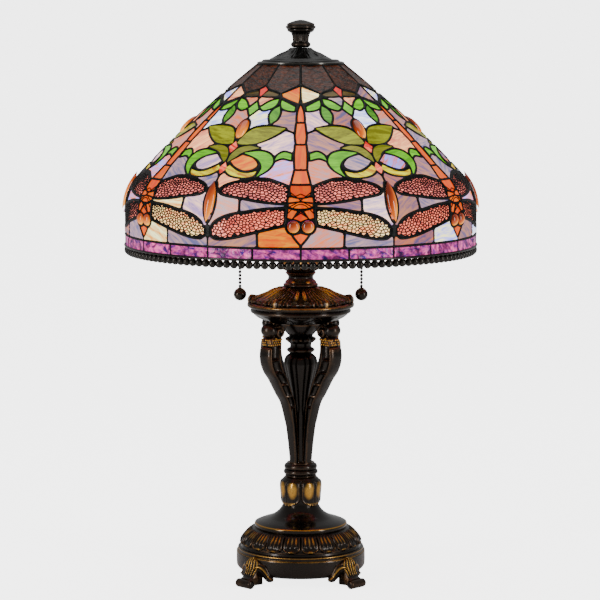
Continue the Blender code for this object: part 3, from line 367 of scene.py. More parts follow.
# Half of one sixth of the shade, from the dragonfly's middle line at 0 to the flower's at 30:
# name: (glass, middle line it lies across or None, outline in degrees and mm down the shade).
c = 1   # marks a corner
drawing = {
    "crownPane": ("ripple", None, [(1.5, 1.2, c), (28.5, 1.2, c), (29.1, 37.0, c), (24.5, 42.5), (18.0, 46.2, c),
                                   (14.6, 49.6, c), (9.0, 42.5), (4.5, 38.0), (1.0, 34.5, c)]),
    "crownSliver": ("sliver", None, [(16.0, 52.8, c), (19.5, 49.6), (25.6, 46.6, c), (28.6, 54.5, c), (24.0, 55.6),
                                     (18.0, 55.3)]),
    "topDiamond": ("ruby", 30, [(30.0, 39.5, c), (26.6, 44.6, c), (30.0, 57.0, c)]),
    "fanPane": ("fan", None, [(0.9, 40.0, c), (6.0, 44.2), (13.4, 52.0, c), (12.4, 56.2, c), (7.0, 61.5),
                              (1.7, 66.5, c), (1.0, 58.0)]),
    "tail1": ("orange", 0, [(0.0, 71.0, c), (1.1, 79.0), (1.6, 90.0), (1.5, 97.0, c), (0.0, 97.4, c)]),
    "tail2": ("orange", 0, [(0.0, 100.0, c), (1.8, 100.2, c), (2.1, 112.0), (2.2, 121.0), (1.7, 131.0, c),
                            (0.0, 131.6, c)]),
    "tail3": ("orange", 0, [(0.0, 134.2, c), (2.0, 134.2, c), (2.2, 146.0), (2.1, 158.0), (1.9, 169.0, c),
                            (0.0, 169.4, c)]),
    "tail4": ("orange", 0, [(0.0, 172.0, c), (2.0, 172.0, c), (2.4, 180.0), (2.9, 190.0, c), (0.0, 190.6, c)]),
    "tail5": ("scarlet", 0, [(0.0, 193.6, c), (3.2, 193.6, c), (3.3, 199.0), (2.9, 205.4, c), (1.4, 208.2),
                             (0.0, 209.0, c)]),
    "waist1": ("orange", 0, [(0.0, 211.0, c), (2.2, 209.6), (3.6, 208.2, c), (3.8, 214.4, c), (1.6, 213.6),
                             (0.0, 213.0, c)]),
    "tail6": ("orange", 0, [(0.0, 215.0, c), (1.6, 215.6), (3.6, 217.0, c), (3.6, 220.0, c), (1.6, 221.8),
                            (0.0, 222.6, c)]),
    "waist2": ("orange", None, [(1.2, 225.0, c), (3.7, 222.6, c), (4.0, 232.0, c), (2.7, 233.4, c)]),
    "head": ("scarlet", 0, [(0.0, 225.6, c), (1.1, 229.4), (2.1, 233.2, c), (0.9, 234.6), (0.0, 236.2, c)]),
    "eye": ("amber", None, oval(2.25, 242.3, 7.0, 7.0)),
    "chin": ("coral", 0, [(0.0, 250.2, c), (1.2, 251.4), (2.1, 252.2, c), (1.1, 257.0), (0.0, 261.6, c)]),
    "upperWing": ("wing", None, [(4.2, 195.0, c), (7.6, 189.4), (12.2, 184.2), (17.0, 185.6), (21.6, 188.6),
                                 (25.4, 193.6), (27.0, 199.6), (26.0, 205.4), (19.6, 209.4), (12.0, 213.6),
                                 (4.3, 216.4, c)]),
    "lowerWing": ("wing", None, [(4.7, 222.8, c), (10.6, 223.4), (16.6, 226.8), (22.6, 231.0), (26.8, 237.8),
                                 (28.8, 247.0), (27.6, 256.2), (21.4, 254.6), (12.6, 246.6), (5.2, 240.4, c)]),
    "marquise": ("amber", 30, [(p[0], p[1]) for p in oval(30.0, 215.0, 6.1, 24.5, 0.55, 0.0, -180.0, 24)]),
    "cabochon": ("amber", 30, [(p[0], p[1]) for p in oval(30.0, 109.5, 6.4, 14.5, 0.0, 0.0, -180.0, 20)]),
    "diamond1": ("rubyFlash", 30, [(30.0, 128.6, c), (27.9, 137.2, c), (30.0, 147.0, c)]),
    "diamond2": ("rubyFlash", 30, [(30.0, 160.6, c), (28.2, 169.6, c), (30.0, 178.4, c)]),
    "leafUpper": ("olive", None, [(7.6, 108.4, c), (15.5, 104.4), (22.6, 106.6), (26.2, 114.0), (28.2, 125.0),
                                  (28.8, 131.6, c), (26.4, 133.2), (19.8, 131.2), (13.2, 120.6)]),
    "leafLower": ("oliveDeep", None, [(17.6, 138.8, c), (22.5, 134.9), (27.2, 139.0), (29.4, 150.0),
                                      (29.3, 160.6, c), (26.9, 153.6), (23.9, 144.6)]),
    "crescent": ("lime", None, [(23.2, 146.6, c), (17.1, 143.0), (12.5, 147.4), (10.7, 158.0), (12.1, 170.0),
                                (15.8, 181.0, c), (14.6, 168.0), (16.0, 158.0), (18.9, 151.6)]),
    "bloom": ("bloom", None, [(24.0, 149.2, c), (19.2, 153.8), (16.6, 163.4), (18.3, 170.2), (21.3, 171.6),
                              (25.2, 166.2), (27.8, 159.2, c)]),
    "yolk": ("yolk", None, [(16.2, 173.6, c), (19.6, 175.8), (23.2, 173.6), (27.6, 164.9, c), (28.6, 171.0),
                            (26.0, 178.6), (21.4, 182.2), (17.4, 180.4)]),
    "armLeaf": ("lime", None, [(3.8, 147.0, c), (6.8, 144.2), (9.2, 149.2), (10.0, 156.4, c), (7.2, 152.8),
                               (3.8, 155.6, c)]),
    "vineA": ("lime", None, [(3.6, 73.4, c), (8.0, 67.4), (12.6, 62.6, c), (12.5, 69.0), (11.0, 75.0), (7.6, 78.4),
                             (3.9, 79.4, c)]),
    "vineB": ("lime", None, [(15.2, 60.6, c), (19.0, 62.6), (22.6, 67.8), (25.4, 74.4, c), (22.4, 78.4),
                             (18.0, 74.6), (15.6, 68.4)]),
    "vineC": ("leafGreen", None, [(13.2, 72.2, c), (16.2, 77.4), (17.6, 87.0), (15.8, 100.0, c), (13.2, 93.6),
                                  (12.2, 83.0)]),
    "vineD": ("lime", 30, [(30.0, 65.6, c), (26.6, 76.4, c), (30.0, 87.0, c)]),
}
solderCuts = [
    [(0.0, 0.0), (0.0, 70.0)],
    [(30.0, 0.0), (30.0, 267.0)],
    [(16.0, 101.0), (15.6, 108.0)],
    [(11.2, 157.0), (9.6, 156.2)],
    [(12.4, 60.0), (15.0, 58.6), (15.4, 62.0)],
    [(15.4, 52.0), (15.4, 59.0)],
    [(19.7, 208.0), (19.3, 228.0)],
    [(13.6, 246.0), (13.4, 268.0)],
    [(2.4, 116.0), (8.6, 108.2)],
    [(18.0, 140.0), (16.6, 144.0)],
    [(28.6, 56.0), (30.0, 58.0)],
]
bandLine = 266.6
# ground panes: name, a point in it, its glass on the right and on the left of the front dragonfly
groundPanes = [
    ("underSliver", (23.5, 60.0), "slate", "peach"),
    ("besideTail", (7.5, 90.0), "shell", "tan"),
    ("overLeaf", (22.0, 93.0), "dusk", "dawn"),
    ("wide", (9.0, 130.0), "tan", "shell"),
    ("overWing", (7.0, 172.0), "mist", "lilac"),
    ("underBloom", (27.6, 185.0), "tan", "peach"),
    ("betweenInner", (12.0, 219.0), "tan", "slate"),
    ("betweenOuter", (24.0, 218.0), "shell", "mist"),
    ("underInner", (9.0, 255.0), "mist", "honey"),
    ("underOuter", (18.5, 260.0), "slate", "tan"),
]


def inside(loop, turns, alongs):
    # which of many points lie in a closed loop
    found = np.zeros(len(turns), bool)
    for (x0, y0), (x1, y1) in zip(loop, loop[1:] + loop[:1]):
        if y0 != y1:
            crossing = ((alongs < y0) != (alongs < y1)) & (turns < (x1 - x0) * (alongs - y0) / (y1 - y0) + x0)
            found ^= crossing
    return found


def within(verts, faces, loops):
    # which triangles have their middle in one of the loops
    middles = np.array([[sum(verts[i][k] for i in f) / 3.0 for k in (0, 1)] for f in faces])
    found = np.zeros(len(faces), bool)
    for loop in loops:
        found |= inside(loop, middles[:, 0], middles[:, 1])
    return found


def away(spots, marks):
    # true distance in mm from many points to the nearest of some marks
    a = np.array([onShade(*p) for p in spots]) / mm
    b = np.array([onShade(*p) for p in marks]) / mm
    out = []
    for part in np.array_split(a, max(1, len(a) // 1500)):
        out.append(np.sqrt(((part[:, None, :] - b[None, :, :]) ** 2).sum(axis=2).min(axis=1)))
    return np.concatenate(out)


def closedHalf(across, loop):
    # a half outline closed along the line it lies across
    return loop if across is None else loop + [(float(across), loop[-1][1]), (float(across), loop[0][1])]


def contours(turnStops, alongStops, level):
    # the closed lines where a field on a grid passes zero
    crossing, links = {}, {}

    def cut(a, b):
        key = (min(a, b), max(a, b))
        if key not in crossing:
            va, vb = level[a], level[b]
            t = va / (va - vb)
            crossing[key] = (turnStops[a[0]] + (turnStops[b[0]] - turnStops[a[0]]) * t,
                             alongStops[a[1]] + (alongStops[b[1]] - alongStops[a[1]]) * t)
        return key

    for i in range(len(turnStops) - 1):
        for j in range(len(alongStops) - 1):
            square = [(i, j), (i + 1, j), (i + 1, j + 1), (i, j + 1)]
            for corners in ((square[0], square[1], square[2]), (square[0], square[2], square[3])):
                edges = [cut(a, b) for a, b in zip(corners, corners[1:] + corners[:1])
                         if (level[a] > 0) != (level[b] > 0)]
                if len(edges) == 2:
                    links.setdefault(edges[0], []).append(edges[1])
                    links.setdefault(edges[1], []).append(edges[0])
    loops, used = [], set()
    for start in links:
        if start in used:
            continue
        chain, now = [], start
        while now is not None:
            used.add(now)
            chain.append(crossing[now])
            now = next((k for k in links[now] if k not in used), None)
        loops.append(chain)
    return loops


def thinned(loop, gap):
    out = [loop[0]]
    for point in loop[1:]:
        if (onShade(*point) - onShade(*out[-1])).length > gap * mm:
            out.append(point)
    if len(out) > 3 and (onShade(*out[0]) - onShade(*out[-1])).length < gap * mm * 0.7:
        out.pop()
    return out


def areaOf(loop):
    flat = [(spread(*p), p[1]) for p in loop]
    return abs(sum(x0 * y1 - x1 * y0 for (x0, y0), (x1, y1) in zip(flat, flat[1:] + flat[:1]))) / 2.0


leading = {
    "outline": 2.9,       # from the drawn panes to the ground panes, mm
    "cut": 1.6,
    "band": 1.4,
    "smallest": 22.0,     # smaller ground panes are filled with solder, mm2
    "fine": 0.7,
    "ridge": 1.25,
    "fill": 2.4,
    "floor": 0.5,         # below the glass, inside the shade
}


def drawPanes():
    panes = []      # name, glass, across, outline
    marks = []
    closedLoops = []
    for name, (glass, across, points) in drawing.items():
        fine = outline(points, across is None, leading["fine"])
        marks += fine
        closedLoops.append(closedHalf(across, fine))
        panes.append((name, glass, across, outline(points, across is None)))
    cutMarks = [p for line in solderCuts for p in smoothRun(line, False, leading["fine"])]
    turnStops = [0.4 * i for i in range(76)]
    alongStops = [30.0 + 1.4 * j for j in range(171)]
    spots = [(t, a) for t in turnStops for a in alongStops]
    turns, alongs = np.array(spots).T
    level = np.minimum(away(spots, marks) - leading["outline"], away(spots, cutMarks) - leading["cut"])
    level = np.minimum(level, bandLine - leading["band"] - alongs)
    for loop in closedLoops:
        level[inside(loop, turns, alongs)] = -1.0
    field = {(i, j): level[i * len(alongStops) + j] + 1e-6 for i in range(len(turnStops))
             for j in range(len(alongStops))}
    for i in range(len(turnStops)):
        for j in range(len(alongStops)):
            if i in (0, len(turnStops) - 1) or j in (0, len(alongStops) - 1):
                field[i, j] = min(field[i, j], -0.4)
    for loop in contours(turnStops, alongStops, field):
        if areaOf(loop) < leading["smallest"]:
            continue
        loop = thinned(loop, 1.5)
        middle = (sum(p[0] for p in loop) / len(loop), sum(p[1] for p in loop) / len(loop))
        ground = min(groundPanes, key=lambda g: (onShade(*g[1]) - onShade(*middle)).length)
        panes.append((ground[0], "ground", None, loop))
    for start in (0.0, 15.0):
        edge = 0.36
        low, high = bandLine + 1.5, shadeForm["long"] - 1.4
        band = [(start + edge, low, c), (start + 15.0 - edge, low, c), (start + 15.0 - edge, high, c),
                (start + edge, high, c)]
        panes.append(("rimPane", "rim", None, outline(band, True, 4.0)))
    return panes


def triangulated(loops, extra, edgeLines):
    # a sheet over one half sector with every loop kept as an edge
    points, edges = [], []
    for loop in loops:
        start = len(points)
        points += loop
        edges += [(start + i, start + (i + 1) % len(loop)) for i in range(len(loop))]
    for line in edgeLines:
        start = len(points)
        points += line
        edges += [(start + i, start + i + 1) for i in range(len(line) - 1)]
    points += extra
    stretched = [Vector((t * 2.5, a)) for t, a in points]
    verts, _, faces, _, _, _ = delaunay_2d_cdt(stretched, edges, [], 0, 1e-4, True)
    return [(v.x / 2.5, v.y) for v in verts], [tuple(f) for f in faces]


def buildSolder(panes):
    form = shadeForm
    loops = [closedHalf(across, loop) for _, _, across, loop in panes]
    fineMarks = []
    for _, _, across, loop in panes:
        ring = loop if across is not None else loop + loop[:1]
        for a, b in zip(ring, ring[1:]):
            fineMarks += [tuple(x + (y - x) * n / 3.0 for x, y in zip(a, b)) for n in range(3)]
    stops = sorted({round(a, 3) for a in [0.0, form["long"]]
                    + [p[1] for loop in loops for p in loop if p[0] in (0.0, 30.0)]})
    lined = [stops[0]]
    for low, high in zip(stops, stops[1:]):
        pieces = max(1, round((high - low) / 1.5))
        lined += [low + (high - low) * n / pieces for n in range(1, pieces + 1)]
    sides = [[(0.0, a) for a in lined], [(30.0, a) for a in lined]]
    ends = [[(t * 1.25, a) for t in range(25)] for a in (0.0, form["long"])]
    # candidate ridge points beside every outline, then fill
    candidates = []
    for _, _, across, loop in panes:
        count = len(loop)
        for i in range(count):
            before, here, after = loop[i - 1], loop[i], loop[(i + 1) % count]
            place, scale = onShade(*here), math.radians(sectionAt(here[1])[0])
            run = Vector(((after[0] - before[0]) * scale, after[1] - before[1]))
            if run.length > 1e-6:
                side = Vector((-run.y, run.x)).normalized() * leading["ridge"]
                candidates += [(here[0] + k * side.x / scale, here[1] + k * side.y) for k in (1, -1)]
    along = 1.0
    while along < form["long"] - 0.5:
        wide = math.degrees(leading["fill"] / sectionAt(along)[0])
        candidates += [(t * wide + wide * (round(along) % 2) * 0.5, along) for t in range(int(30.0 / wide) + 1)]
        along += leading["fill"]
    candidates = [p for p in candidates if 0.25 < p[0] < 29.75 and 0.6 < p[1] < form["long"] - 0.6]
    gaps = away(candidates, fineMarks)
    blocked = np.zeros(len(candidates), bool)
    turns, alongs = np.array(candidates).T
    for loop in loops:
        blocked |= inside(loop, turns, alongs)
    kept, cells = [], {}
    order = sorted(range(len(candidates)), key=lambda i: -min(gaps[i], 1.3))
    for i in order:
        if blocked[i] or gaps[i] < 0.7:
            continue
        place = onShade(*candidates[i]) / mm
        key = tuple(int(v // 1.15) for v in place)
        near = [cells.get((key[0] + x, key[1] + y, key[2] + z)) for x in (-1, 0, 1) for y in (-1, 0, 1)
                for z in (-1, 0, 1)]
        if any(n is not None and (n - place).length < 1.1 for n in near):
            continue
        cells[key] = place
        kept.append(candidates[i])
    outer, outerFaces = triangulated(loops, kept, sides + ends)
    inner, innerFaces = triangulated(loops, [], sides + ends)
    gapOut = away(outer, fineMarks)

    def solderOnly(verts, faces):
        return [f for f, hole in zip(faces, within(verts, faces, loops)) if not hole]

    outerFaces, innerFaces = solderOnly(outer, outerFaces), solderOnly(inner, innerFaces)

    def lifted(gap):
        share = 1.0 - min(gap / form["beadSide"], 1.0)
        return form["glassLift"] + 0.1 + form["beadHigh"] * math.sqrt(1.0 - share * share)

    outerPoints = [(*p, lifted(g)) for p, g in zip(outer, gapOut)]
    innerPoints = [(*p, form["glassLift"] - form["glassThick"] - leading["floor"]) for p in inner]
    rims = {}
    for f in outerFaces:
        for a, b in zip(f, f[1:] + f[:1]):
            rims[(a, b)] = (b, a) not in rims
            if (b, a) in rims:
                rims[(b, a)] = rims[(a, b)] = False
    innerAt = {(round(p[0], 3), round(p[1], 3)): i for i, p in enumerate(inner)}
    walls = []
    for (a, b), free in rims.items():
        if not free:
            continue
        pa, pb = outer[a], outer[b]
        if (abs(pa[0]) < 1e-4 and abs(pb[0]) < 1e-4) or (abs(pa[0] - 30.0) < 1e-4 and abs(pb[0] - 30.0) < 1e-4):
            continue
        ia, ib = (innerAt.get((round(p[0], 3), round(p[1], 3))) for p in (pa, pb))
        if ia is not None and ib is not None:
            walls.append((b, a, len(outer) + ia, len(outer) + ib))
    points = outerPoints + innerPoints
    faces = outerFaces + [tuple(len(outer) + i for i in reversed(f)) for f in innerFaces] + walls
    bm = bmesh.new()
    for turn in range(0, 360, 60):
        for side in (1, -1):
            made = [bm.verts.new(onShade(turn + side * t, a, lift)) for t, a, lift in points]
            for f in faces:
                picked = [made[i] for i in (f if side > 0 else reversed(f))]
                if len(set(picked)) == len(picked):
                    bm.faces.new(picked)
    bmesh.ops.remove_doubles(bm, verts=bm.verts, dist=0.00003)
    dropLoose(bm)
    bmesh.ops.recalc_face_normals(bm, faces=bm.faces)
    solder = finished("solderWork", bm, "solder", "shade", ["lead_frame"], 180.0)
    print("solder triangles", sum(len(p.vertices) - 2 for p in solder.data.polygons))


# each glass as it is seen lit, in its two tints
glassTints = {
    "lime": ((128, 190, 66), (158, 212, 92)),
    "leafGreen": ((100, 160, 70), (136, 192, 88)),
    "olive": ((182, 186, 84), (146, 146, 50)),
    "oliveDeep": ((142, 146, 58), (170, 168, 84)),
    "orange": ((252, 156, 84), (246, 126, 52)),
    "scarlet": ((248, 104, 20), (252, 140, 40)),
    "coral": ((248, 156, 104), (238, 132, 82)),
    "wing": ((238, 186, 176), (206, 140, 140)),
    "wingRose": ((246, 184, 166), (226, 148, 136)),
    "wingCream": ((255, 226, 200), (244, 190, 160)),
    "ruby": ((214, 36, 28), (242, 92, 48)),
    "rubyFlash": ((226, 48, 36), (252, 176, 156)),
    "yolk": ((206, 158, 14), (252, 236, 96)),
    "sliver": ((136, 112, 22), (88, 72, 24)),
    "ripple": ((34, 24, 16), (124, 68, 28)),
    "rim": ((98, 68, 164), (228, 156, 196)),
    "cream": ((255, 240, 214), (250, 196, 136)),
    "honey": ((255, 184, 96), (240, 132, 60)),
    "peach": ((252, 210, 182), (222, 168, 150)),
    "tan": ((206, 170, 150), (150, 134, 168)),
    "shell": ((242, 218, 208), (196, 180, 206)),
    "dusk": ((132, 122, 162), (214, 160, 126)),
    "dawn": ((252, 230, 204), (190, 192, 240)),
    "mist": ((196, 180, 184), (228, 166, 126)),
    "lilac": ((204, 204, 242), (248, 180, 138)),
    "slate": ((148, 146, 180), (204, 184, 184)),
    "pearl": ((252, 238, 232), (198, 204, 250)),
    "sky": ((184, 196, 244), (252, 160, 84)),
}
# what the panes that differ from sector to sector are cut from
chosenGlass = {
    (0, 1): {"fanPane": "cream", "bloom": "slate", "lowerWing": "wingCream"},
    (0, -1): {"fanPane": "honey", "bloom": "honey", "lowerWing": "wingRose"},
    (60, -1): {"fanPane": "tan", "bloom": "sky", "besideTail": "mist", "overLeaf": "pearl", "wide": "peach",
               "overWing": "tan", "underSliver": "peach", "underBloom": "dusk", "betweenOuter": "tan"},
    (300, 1): {"fanPane": "peach", "bloom": "shell", "besideTail": "pearl", "overLeaf": "mist", "wide": "peach",
               "overWing": "slate", "underSliver": "mist", "underBloom": "slate", "betweenOuter": "shell"},
}
glassBlend = {"ripple": "ripple", "rim": "rim"}
groundNames = {g[0]: g for g in groundPanes}
chance = random.Random(11)


def glassOf(name, glass, turn, side):
    chosen = chosenGlass.get((turn, side), {})
    if name in chosen:
        return chosen[name]
    if glass not in ("ground", "fan", "bloom"):
        return chance.choice(["wing", "wing", "wingRose", "wingCream"]) if name == "lowerWing" else glass
    if turn == 0 and name in groundNames:
        return groundNames[name][2 if side > 0 else 3]
    return chance.choice(["tan", "shell", "mist", "slate", "peach", "pearl", "dawn", "dusk", "cream", "lilac"])


def paneSheet(loop, step):
    # the loop filled with triangles, with inner points where the pane is curved
    low, high = min(p[1] for p in loop), max(p[1] for p in loop)
    extra = []
    along = low + step
    while along < high - step * 0.4:
        wide = math.degrees(step / sectionAt(along)[0])
        extra += [(t * wide, along) for t in range(-int(62.0 / wide), int(62.0 / wide))]
        along += step
    if extra:
        turns, alongs = np.array(extra).T
        gaps = away(extra, loop)
        extra = [p for p, ok, g in zip(extra, inside(loop, turns, alongs), gaps) if ok and g > step * 0.45]
    verts, faces = triangulated([loop], extra, [])
    return verts, [f for f, keep in zip(faces, within(verts, faces, [loop])) if keep]


def addPane(bm, layers, loop, turn, side, glass, lift, thick, curved):
    tints = [backlit(*t, shadeForm["glow"][glassBlend.get(glass, "opal")]) for t in glassTints[glass]]
    seed = chance.uniform(0.0, 90.0)
    angle = chance.uniform(-0.7, 0.7)
    if glass in ("olive", "oliveDeep", "lime"):
        angle *= 0.4
    if glass in ("orange", "scarlet", "coral"):
        angle = math.pi / 2.0 + angle * 0.3
    shift = chance.uniform(0.9, 1.08)
    verts, faces = (loop, None) if not curved else paneSheet(loop, curved)
    top = [onShade(turn + side * t, a, lift) for t, a in verts]
    middle = sum(top, Vector()) / len(top)
    ring = top if faces is None else [onShade(turn + side * t, a, lift) for t, a in loop]
    normal = sum((a.cross(b) for a, b in zip(ring, ring[1:] + ring[:1])), Vector()).normalized()
    if normal.dot(Vector((middle.x, middle.y, 0.03))) < 0:
        normal = -normal
    if faces is None:
        top = [p - normal * (p - middle).dot(normal) for p in top]
        bottom = [p - normal * thick * mm for p in top]
    else:
        bottom = [onShade(turn + side * t, a, lift - thick) for t, a in verts]
    sideways = Vector((0.0, 0.0, 1.0)).cross(normal).normalized()
    upward = normal.cross(sideways)
    topVerts = [bm.verts.new(p) for p in top]
    bottomVerts = [bm.verts.new(p) for p in bottom]
    for v in topVerts + bottomVerts:
        flat = ((v.co - middle).dot(sideways) / mm, (v.co - middle).dot(upward) / mm)
        v[layers[2]] = Vector((flat[0] * math.cos(angle) - flat[1] * math.sin(angle),
                               flat[0] * math.sin(angle) + flat[1] * math.cos(angle), seed))
        for layer, tint in zip(layers, tints):
            v[layer] = (*(k * shift for k in tint), 1.0)
    if faces is None:
        made = [bm.faces.new(topVerts), bm.faces.new(bottomVerts[::-1])]
        ringIds = list(range(len(verts)))
    else:
        made = [bm.faces.new([topVerts[i] for i in f]) for f in faces]
        made += [bm.faces.new([bottomVerts[i] for i in reversed(f)]) for f in faces]
        index = {(round(v[0], 4), round(v[1], 4)): i for i, v in enumerate(verts)}
        ringIds = [index[(round(p[0], 4), round(p[1], 4))] for p in loop if (round(p[0], 4), round(p[1], 4)) in index]
    for a, b in zip(ringIds, ringIds[1:] + ringIds[:1]):
        made.append(bm.faces.new((topVerts[a], bottomVerts[a], bottomVerts[b], topVerts[b])))
    bmesh.ops.recalc_face_normals(bm, faces=made)


def glassMesh():
    bm = bmesh.new()
    layers = (bm.verts.layers.float_color.new("tintA"), bm.verts.layers.float_color.new("tintB"),
              bm.verts.layers.float_vector.new("grain"))
    return bm, layers


def fullLoop(across, loop):
    if across is None:
        return loop
    mirrored = [(2.0 * across - t, a) for t, a in reversed(loop)]
    return loop + [p for p in mirrored if abs(p[0] - across) > 1e-6]


def buildGlass(panes):
    form = shadeForm
    rim, rimLayers = glassMesh()
    for index in range(6):
        # sector 5 faces the front, and the sectors are numbered round from the right
        turn = (index - 4) * 60 % 360
        body, bodyLayers = glassMesh()
        crown, crownLayers = glassMesh()
        for name, glass, across, loop in panes:
            if glass == "amber":
                continue
            full = fullLoop(across, loop)
            for side in (1, -1) if across is None else (1,):
                kind = glassOf(name, glass, turn, side)
                target, layers = {"ripple": (crown, crownLayers), "rim": (rim, rimLayers)}.get(
                    kind, (body, bodyLayers))
                wing = kind.startswith("wing")
                lift = form["glassLift"] - (0.5 if wing else 0.0)
                addPane(target, layers, full, turn, side, kind, lift, form["glassThick"], 6.0 if wing else 0.0)
        number = str(index + 1)
        finished("opalPanes" + number, body, "opal", "shade", ["body_glass_" + number])
        finished("crownPanes" + number, crown, "ripple", "shade", ["crown_glass_" + number])
    finished("rimPanes", rim, "rim", "shade", ["rim_glass"])
    print("glass cut")


jewels = {
    "eye": ((2.25, 242.3), 6.7, 6.7, 4.6, 0.0),      # place, half width, half height, stand, point
    "marquise": ((30.0, 215.0), 5.9, 24.2, 4.6, 1.0),
    "cabochon": ((30.0, 109.5), 6.2, 14.3, 4.8, 0.0),
}


def buildJewels():
    bm = bmesh.new()
    heart = bm.verts.layers.float.new("heart")
    for turn in range(0, 360, 60):
        for name, (place, half, tall, stand, point) in jewels.items():
            for side in (1, -1) if name == "eye" else (1,):
                here = (turn + side * place[0], place[1])
                middle = onShade(*here, shadeForm["glassLift"] - 0.2)
                down = (onShade(here[0], here[1] + 0.5) - onShade(here[0], here[1] - 0.5)).normalized()
                across = (onShade(here[0] + 0.1, here[1]) - onShade(here[0] - 0.1, here[1])).normalized()
                out = across.cross(down) * -1.0
                made = bmesh.ops.create_uvsphere(bm, u_segments=28, v_segments=18, radius=1.0)["verts"]
                for v in made:
                    x, y, z = v.co
                    thin = (1.0 - z * z) ** (0.5 * point) if point else 1.0
                    # painted glint: a fixed slant across each jewel, brighter toward one lower side
                    v[heart] = 0.6 * x - 0.8 * z
                    proud = stand * thin * (1.0 if y > 0 else 0.55)
                    v.co = middle + (across * x * half * thin - down * z * tall + out * y * proud) * mm
    bmesh.ops.recalc_face_normals(bm, faces=bm.faces)
    finished("amberJewels", bm, "amber", "shade", smooth=180.0)


filigree = {
    "wire": 0.56,      # half the wire's width, mm
    "stand": 0.75,
    "pitch": 2.4,
    "shortCell": 2.7,
    "longCell": 5.6,
    "thorax": [[(-3.9, 201.0), (-1.6, 208.0), (0.9, 215.0), (4.0, 221.0)],
               [(-3.8, 219.5), (-1.4, 224.0), (1.2, 230.0), (3.6, 236.0)],
               [(0.0, 205.0), (2.2, 208.5), (4.2, 209.0)], [(0.0, 217.0), (1.6, 219.0), (4.0, 227.5)],
               [(0.0, 222.5), (2.0, 222.0), (4.2, 219.5)]],
}


def edgesAt(loop, turn):
    found = []
    for (x0, y0), (x1, y1) in zip(loop, loop[1:] + loop[:1]):
        if (x0 < turn) != (x1 < turn):
            found.append(y0 + (y1 - y0) * (turn - x0) / (x1 - x0))
    return (min(found), max(found)) if len(found) >= 2 else None


def clipped(cell, wire):
    # a convex cell with every side moved in by half a wire
    count = len(cell)
    turnRound = sum(cell[i - 1][0] * cell[i][1] - cell[i][0] * cell[i - 1][1] for i in range(count))
    if turnRound < 0:
        cell = cell[::-1]
    out = list(cell)
    for a, b in zip(cell, cell[1:] + cell[:1]):
        long = math.hypot(b[0] - a[0], b[1] - a[1])
        if long < 1e-6:
            continue
        normal = (-(b[1] - a[1]) / long, (b[0] - a[0]) / long)
        kept = []
        for p, q in zip(out, out[1:] + out[:1]):
            dp, dq = (((k[0] - a[0]) * normal[0] + (k[1] - a[1]) * normal[1]) - wire for k in (p, q))
            if dp >= 0:
                kept.append(p)
            if (dp >= 0) != (dq >= 0):
                t = dp / (dp - dq)
                kept.append((p[0] + (q[0] - p[0]) * t, p[1] + (q[1] - p[1]) * t))
        out = kept
        if len(out) < 3:
            return []
    return out


def wingCells(loop, spots):
    # irregular cells, small by the leading edge and long by the trailing one
    flat = [(spread(*p), p[1]) for p in loop]
    margin = 0.95
    low, high = ([pick(p[k] for p in flat) for k in (0, 1)] for pick in (min, max))
    tries = [(spots.uniform(low[0], high[0]), spots.uniform(low[1], high[1])) for _ in range(5200)]
    turns, alongs = np.array(tries).T
    ok = inside(flat, turns, alongs)
    seeds = []
    for (x, y), good in zip(tries, ok):
        if not good:
            continue
        ends = edgesAt(flat, x)
        share = (y - ends[0]) / max(ends[1] - ends[0], 1.0) if ends else 0.5
        reach = filigree["shortCell"] + (filigree["longCell"] - filigree["shortCell"]) * max(0.0, share - 0.3) / 0.7
        if all(((x - u) / reach) ** 2 + ((y - v) / filigree["pitch"]) ** 2 > 1.0 for u, v in seeds):
            seeds.append((x, y))
    fence = []
    for before, here, after in zip(flat[-1:] + flat[:-1], flat, flat[1:] + flat[:1]):
        run = Vector((after[0] - before[0], after[1] - before[1])).normalized()
        for side in (1, -1):
            beyond = (here[0] - run.y * 1.6 * side, here[1] + run.x * 1.6 * side)
            if not inside(flat, np.array([beyond[0]]), np.array([beyond[1]]))[0]:
                fence.append(beyond)
    squeeze = 1.35
    spread2d = [Vector((x / squeeze, y)) for x, y in seeds + fence]
    verts, _, faces, _, _, _ = delaunay_2d_cdt(spread2d, [], [], 0, 1e-4, True)
    around = {}
    for f in faces:
        a, b, d = (verts[i] for i in f)
        twice = 2.0 * (a.x * (b.y - d.y) + b.x * (d.y - a.y) + d.x * (a.y - b.y))
        if abs(twice) < 1e-9:
            continue
        x = (a.length_squared * (b.y - d.y) + b.length_squared * (d.y - a.y) + d.length_squared * (a.y - b.y)) / twice
        y = (a.length_squared * (d.x - b.x) + b.length_squared * (a.x - d.x) + d.length_squared * (b.x - a.x)) / twice
        for i in f:
            around.setdefault(i, []).append((x * squeeze, y))
    cells = []
    for i, corners in around.items():
        seed = (verts[i].x * squeeze, verts[i].y)
        if not inside(flat, np.array([seed[0]]), np.array([seed[1]]))[0] or len(corners) < 3:
            continue
        corners.sort(key=lambda p: math.atan2(p[1] - seed[1], p[0] - seed[0]))
        if max(math.hypot(p[0] - seed[0], p[1] - seed[1]) for p in corners) > 7.0:
            continue
        cell = clipped(corners, filigree["wire"])
        cell = [p for n, p in enumerate(cell) if math.hypot(p[0] - cell[n - 1][0], p[1] - cell[n - 1][1]) > 0.25]
        if len(cell) < 3:
            continue
        turns = [math.degrees(x / sectionAt(y)[0]) for x, y in cell]
        spotsOf = [(t, p[1]) for t, p in zip(turns, cell)]
        gaps = away(spotsOf, loop)
        good = inside(loop, np.array(turns), np.array([p[1] for p in cell])) & (gaps > margin)
        cell = [p for p, g in zip(spotsOf, good) if g]
        if len(cell) >= 3 and areaOf(cell) > 0.9:
            cells.append(cell)
    return cells


